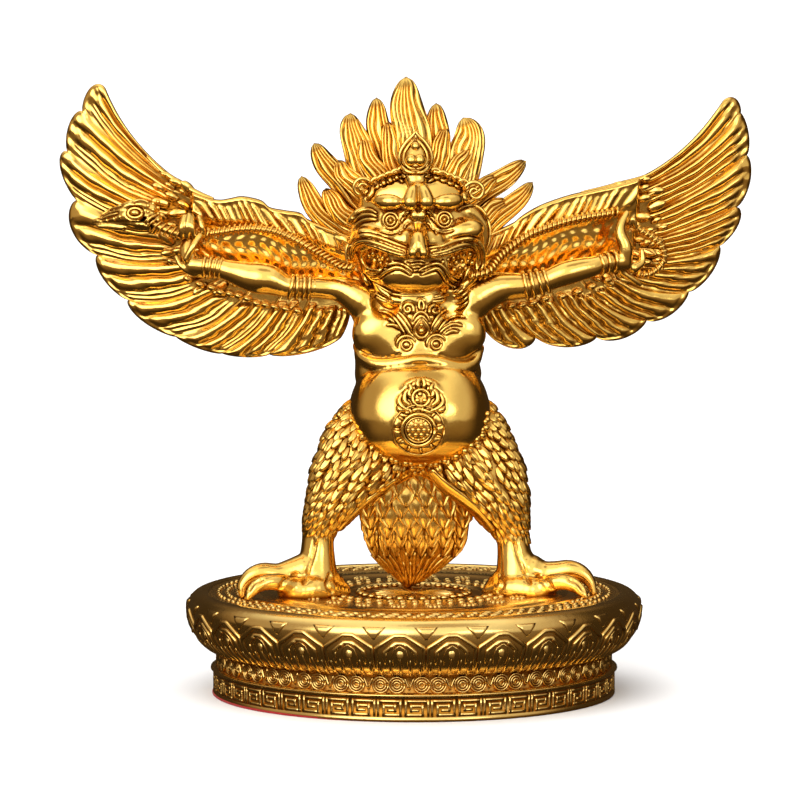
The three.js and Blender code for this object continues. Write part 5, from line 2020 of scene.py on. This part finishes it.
@dataclass
class Limb:
    """A limb whose sections are given by rows of pixels, and the feathers that cover it."""

    rows: tuple[tuple[float, float, float, float, float], ...]
    shrink: float = 0.5

    def at(self, t: Array, turns: Array, over: float = 0.0) -> Array:
        """Points of the limb's skin.

        Args:
            t: The share of the way along it.
            turns: The turn about it.
            over: How far from the skin, in pixels across.

        Returns:
            The points.
        """
        known = np.array(self.rows, float)
        place = np.arange(len(known))
        fine = curve(known, 8 * (len(known) - 1) + 1)
        spot = np.linspace(0, len(known) - 1, len(fine))
        rows = np.stack([np.interp(np.asarray(t) * place[-1], spot, fine[:, k]) for k in range(5)], -1)
        rows[..., 1] += self.shrink / PIXEL - over / PIXEL
        rows[..., 2] -= self.shrink / PIXEL - over / PIXEL
        rows[..., 4] -= self.shrink - over
        return ringed(rows, turns)

    def skin(self, steps: int = 44, sides: int = 40) -> Form:
        """The limb under its feathers."""
        t = np.linspace(0, 1, steps)[:, None]
        turns = (np.arange(sides) / sides * FULL_TURN)[None]
        return tube(self.at(t + 0 * turns, turns + 0 * t))

    def feathers(
        self, shape: Form, t: Array, turns: Array, flow: Callable, sizes: Sequence[Any], rise: float = 0.16,
    ) -> Form:
        """Feathers laid over the limb.

        Args:
            shape: One feather.
            t: The share along the limb of each.
            turns: The turn about the limb of each.
            flow: Gives the angle from straight down for each, in degrees, growing with the turn.
            sizes: Half length, half width and thickness.
            rise: How far the tips stand away.

        Returns:
            All of them.
        """
        here = self.at(t, turns)
        down = unit(self.at(t + 0.01, turns) - here)
        around = unit(self.at(t, turns + 0.02) - here)
        out = unit(np.cross(around, down))
        out = out * np.sign(np.einsum("ij,ij->i", out, here - self.at(t, turns, -1.5)))[:, None]
        angle = np.radians(flow(t, turns))[:, None]
        along = np.cos(angle) * down + np.sin(angle) * around
        long, wide, thick = sizes
        places = here + out * np.reshape(thick, (-1, 1)) * 0.3
        return stamp(shape, places, laid(along + rise * out, out, long, wide, thick))


def staggered(count: int, low: float, high: float, around: Callable[[float], int]) -> tuple[Array, Array]:
    """Places in rows round a limb, each row shifted by half a step.

    Args:
        count: How many rows.
        low: The share along the limb of the first.
        high: The share along the limb of the last.
        around: Gives how many stand in a row at a share along the limb.

    Returns:
        The shares along it and the turns about it.
    """
    t, turns = [], []
    for k, share in enumerate(np.linspace(low, high, count)):
        many = around(share)
        t.append(np.full(many, share))
        turns.append((np.arange(many) + 0.5 * (k % 2)) / many * FULL_TURN)
    return np.concatenate(t), np.concatenate(turns)


@dataclass
class Leg:
    """A feathered thigh, a bare shin and a clawed foot. Places are pixels and depths, sizes millimetres."""

    name: str
    side: int
    rows: tuple[tuple[float, float, float, float, float], ...]
    shin: tuple[Knot, ...]
    toes: tuple[tuple[Knot, ...], ...]
    low: Triple
    high: Triple
    hem: tuple[Triple, ...]
    hem_width: float
    creases: tuple[tuple[Pair, ...], ...]

    def flow(self, t: Array, turns: Array) -> Array:
        """The lean of the feathers from straight down: outward, more so on top and on the inner side."""
        lean = (14 + 30 * (1 - t)) * (0.6 - 0.4 * np.cos(turns) * self.side)
        return -lean * np.sin(turns) * self.side + 13 * np.sin(turns * 17 + t * 41)

    def build(self, material: bpy.types.Material) -> None:
        """Makes the leg."""
        limb = Limb(self.rows, 0.7)
        t, turns = staggered(15, 0.05, 0.97, lambda share: int(29 - 11 * share**2))
        turns = turns + 0.04 * np.sin(np.arange(len(t)) * 2.4)
        t = np.clip(t + 0.012 * np.sin(np.arange(len(t)) * 3.7), 0, 1)
        low = ease(t, 0.72, 1.0)
        size = 1 + 0.16 * np.sin(turns * 13 + t * 77)
        sizes = (1.35 * size * (1 - 0.25 * low), 0.6 * size * (1 - 0.2 * low), 0.6 * (1 - 0.5 * low))
        c = Carver(self.name, self.low, self.high, 0.2)
        c.cord(self.shin, 0.5)
        for toe in self.toes:
            c.cord(toe, 0.3)
        for line in self.creases:
            c.groove(line, 0.28)
        c.made.add(limb.skin())
        c.made.add(limb.feathers(plume(6, 7, 0.3, 0.2), t, turns, self.flow, sizes, 0.24))
        path = EYE.spot(curve(self.hem, 24))
        aside = unit(np.array([-0.75 * self.side, -0.65, 0.0]))
        c.made.add(rope(path, self.hem_width * tapered(24, 0.6), 0.28, sides=12, front=aside))
        c.finish(material)


LEFT_LEG = Leg(
    "leg_left", -1,
    (
        (398, 349, 400, -0.4, 3.2), (412, 339, 408, -0.7, 4.2), (424, 329, 414, -1.2, 5.0),
        (437, 321.5, 415, -1.6, 5.4), (452, 316.5, 413, -2.0, 5.5), (466, 311, 410, -2.2, 5.5),
        (480, 308, 399, -2.3, 5.3), (495, 306, 377, -2.4, 4.8), (508, 304, 363, -2.5, 4.2),
        (519, 302.5, 352, -2.5, 3.5), (530, 301.5, 341, -2.4, 2.8), (541, 301, 335.5, -2.3, 2.4),
    ),
    (
        (319, 520, -2.4, 2.3), (318, 535, -2.3, 2.1), (317.5, 550, -2.4, 2.2), (317, 563, -2.6, 2.45),
        (317, 576, -2.9, 2.7), (318, 588, -3.1, 3.0),
    ),
    (
        (
            (308, 570, -3.0, 2.4), (292, 573, -3.4, 1.9), (278, 575, -3.8, 1.55), (262, 573, -4.2, 1.35),
            (250, 577, -4.6, 1.05), (242.5, 586, -5.0, 0.75), (242, 596, -5.4, 0.4),
        ),
        (
            (292, 587, -5.8, 1.4), (278, 582, -7.0, 1.15), (264, 583, -7.8, 1.0), (253, 590, -8.4, 0.75),
            (248, 598, -8.8, 0.4),
        ),
        ((286, 591, -5.6, 1.2), (300, 591, -5.6, 1.7), (320, 589, -4.5, 2.0), (340, 591, -3.0, 1.4)),
        ((330, 584, -2.6, 1.9), (340, 589, -1.8, 1.2), (346, 593, -1.2, 0.6)),
    ),
    (-24.5, -12.6, 12.9), (-7.8, 1.8, 26.0),
    ((397, 478, -4.3), (374, 496, -4.7), (360, 508, -4.7), (349, 519, -4.5), (339, 530, -4.0)), 0.5,
    (
        ((317, 538), (314, 552), (309, 568), (304, 583)), ((296, 574), (287, 578), (280, 588)),
        ((262, 580), (254, 583), (249, 590)), ((330, 575), (327, 585), (332, 592)),
    ),
)
RIGHT_LEG = Leg(
    "leg_right", 1,
    (
        (398, 436, 489, -0.4, 3.2), (412, 428, 499, -0.7, 4.2), (424, 422, 506.5, -1.2, 5.0),
        (437, 421, 513, -1.6, 5.4), (452, 422, 519.5, -2.0, 5.5), (466, 424, 525, -2.2, 5.5),
        (480, 434, 528, -2.3, 5.3), (495, 453, 530, -2.4, 4.8), (508, 467, 530, -2.5, 4.2),
        (519, 477, 530.5, -2.5, 3.5), (530, 487, 531, -2.4, 2.8), (541, 494, 533, -2.3, 2.4),
    ),
    (
        (510, 520, -2.4, 2.3), (512, 535, -2.3, 2.1), (514, 550, -2.4, 2.2), (515.5, 563, -2.6, 2.45),
        (516, 576, -2.9, 2.7), (514, 588, -3.1, 3.0),
    ),
    (
        (
            (526, 570, -3.0, 2.4), (542, 574, -3.4, 1.8), (556, 573, -3.8, 1.6), (570, 570.5, -4.2, 1.4),
            (582, 574, -4.6, 1.1), (590.5, 583, -5.0, 0.75), (594, 594, -5.4, 0.4),
        ),
        (
            (543, 587, -5.8, 1.4), (556, 582, -7.0, 1.15), (569, 583, -7.8, 1.0), (580, 590, -8.4, 0.75),
            (586, 598, -8.8, 0.4),
        ),
        ((548, 591, -5.6, 1.2), (534, 591, -5.6, 1.7), (512, 589, -4.5, 2.0), (494, 591, -3.0, 1.4)),
        ((502, 584, -2.6, 1.9), (492, 589, -1.8, 1.2), (486, 593, -1.2, 0.6)),
    ),
    (6.8, -12.6, 12.9), (24.5, 1.8, 26.0),
    (
        (430, 470, -5.2), (440, 482, -5.1), (459, 497, -5.2), (473, 509, -5.1), (483, 520, -4.8),
        (492, 531, -4.3),
    ),
    0.95,
    (
        ((514, 538), (517, 552), (523, 568), (530, 583)), ((538, 576), (546, 580), (552, 589)),
        ((570, 580), (578, 583), (583, 590)), ((500, 575), (503, 585), (498, 592)),
    ),
)


@dataclass
class Tail:
    """The fan tail between the legs, under rows of pointed feathers that run together at its foot."""

    rows: tuple[tuple[float, float, float, float, float], ...] = (
        (452, 372, 452, 1.6, 2.0), (470, 364, 462, 2.0, 2.0), (488, 359, 470, 2.3, 2.0),
        (505, 358, 472.5, 2.6, 2.0), (521, 360.5, 472, 2.9, 1.9), (532, 361.5, 470.5, 3.2, 1.85),
        (543, 363.5, 467.5, 3.5, 1.75), (553, 368, 460.5, 3.85, 1.65), (563, 377, 449, 4.2, 1.5),
        (572, 388, 436, 4.6, 1.25), (580, 397, 424, 4.9, 1.0), (588, 402, 412, 5.3, 0.8),
    )
    tips: tuple[float, ...] = (486, 497, 508, 519, 530, 540, 550, 559)
    length: float = 26.0

    def feather(self) -> Form:
        """A broad pointed feather with raised edges and a raised quill."""
        v, w = np.linspace(0, 1, 8)[:, None], np.linspace(-1, 1, 11)[None]
        half = np.clip(np.minimum(0.8 + v, (1.02 - v) / 0.46), 0.02, 1)
        shape = 0.3 + 0.6 * ease(np.abs(w), 0.55, 0.8) * ease(
            1 - np.abs(w), 0, 0.1,
        ) + 0.35 * mound(w, 0, 0.24)
        lift = shape * (0.3 + 0.7 * ease(v, 0, 0.5)) * ease(1.1 - v, 0, 0.15)
        place = [w * half, 2 * v - 1 + 0 * w]
        return slab(np.stack([*place, lift], -1), np.stack([*place, 0 * lift - 0.4], -1))

    def build(self, material: bpy.types.Material) -> None:
        """Makes the tail."""
        limb = Limb(self.rows, 0.3)
        made = Casting("tail")
        made.add(limb.skin(48, 48))
        shape = self.feather()
        known = np.array(self.rows, float)
        for k, row in enumerate(self.tips):
            many = 6 + k % 2 + (row > 545)
            level = np.interp(row - self.length / 2, known[:, 0], np.linspace(0, 1, len(known)))
            across = (np.arange(many) + 0.5) / many * 2 - 1
            turns = np.arccos(np.clip(across + 0.03 * np.sin(np.arange(many) * 2.1 + k), -1, 1))
            wide = np.interp(row, known[:, 0], known[:, 2] - known[:, 1]) * PIXEL / many
            sizes = (self.length / 2 * PIXEL, 0.58 * wide, 0.45)
            for face in (1, -1):
                made.add(
                    limb.feathers(shape, np.full(many, level), face * turns, lambda a, b: 0 * b, sizes, 0.1)
                )
        streak = plume(6, 5, 0.5, 0.2)
        for level, many in ((0.74, 30), (0.84, 24)):
            turns = (np.arange(many) + 0.3) / many * FULL_TURN
            sizes = (1.9, 0.36, 0.3)
            made.add(
                limb.feathers(
                    streak, np.full(many, level), turns, lambda a, b: 5 * np.sin(b * 11), sizes, 0.05,
                )
            )
        made.finish(material)


def main() -> None:
    """Builds every piece in order."""
    gold = Gilding("gilt_figure").make()
    plinth_gold = Gilding("gilt_plinth", bright=(0.92, 0.63, 0.2), polish=0.16).make()
    Plinth().build(plinth_gold)
    Pad().build(Flock().make())
    Torso().build(gold)
    LEFT_ARM.build(gold)
    RIGHT_ARM.build(gold)
    Head().build(gold)
    LEFT_WING.build(gold)
    RIGHT_WING.build(gold)
    Mane().build(gold)
    Snake().build(gold)
    LEFT_LEG.build(gold)
    RIGHT_LEG.build(gold)
    Tail().build(gold)
    Studio().build()


if __name__ == "__main__":
    logging.basicConfig(level=logging.INFO, format="%(name)s: %(message)s")
    main()
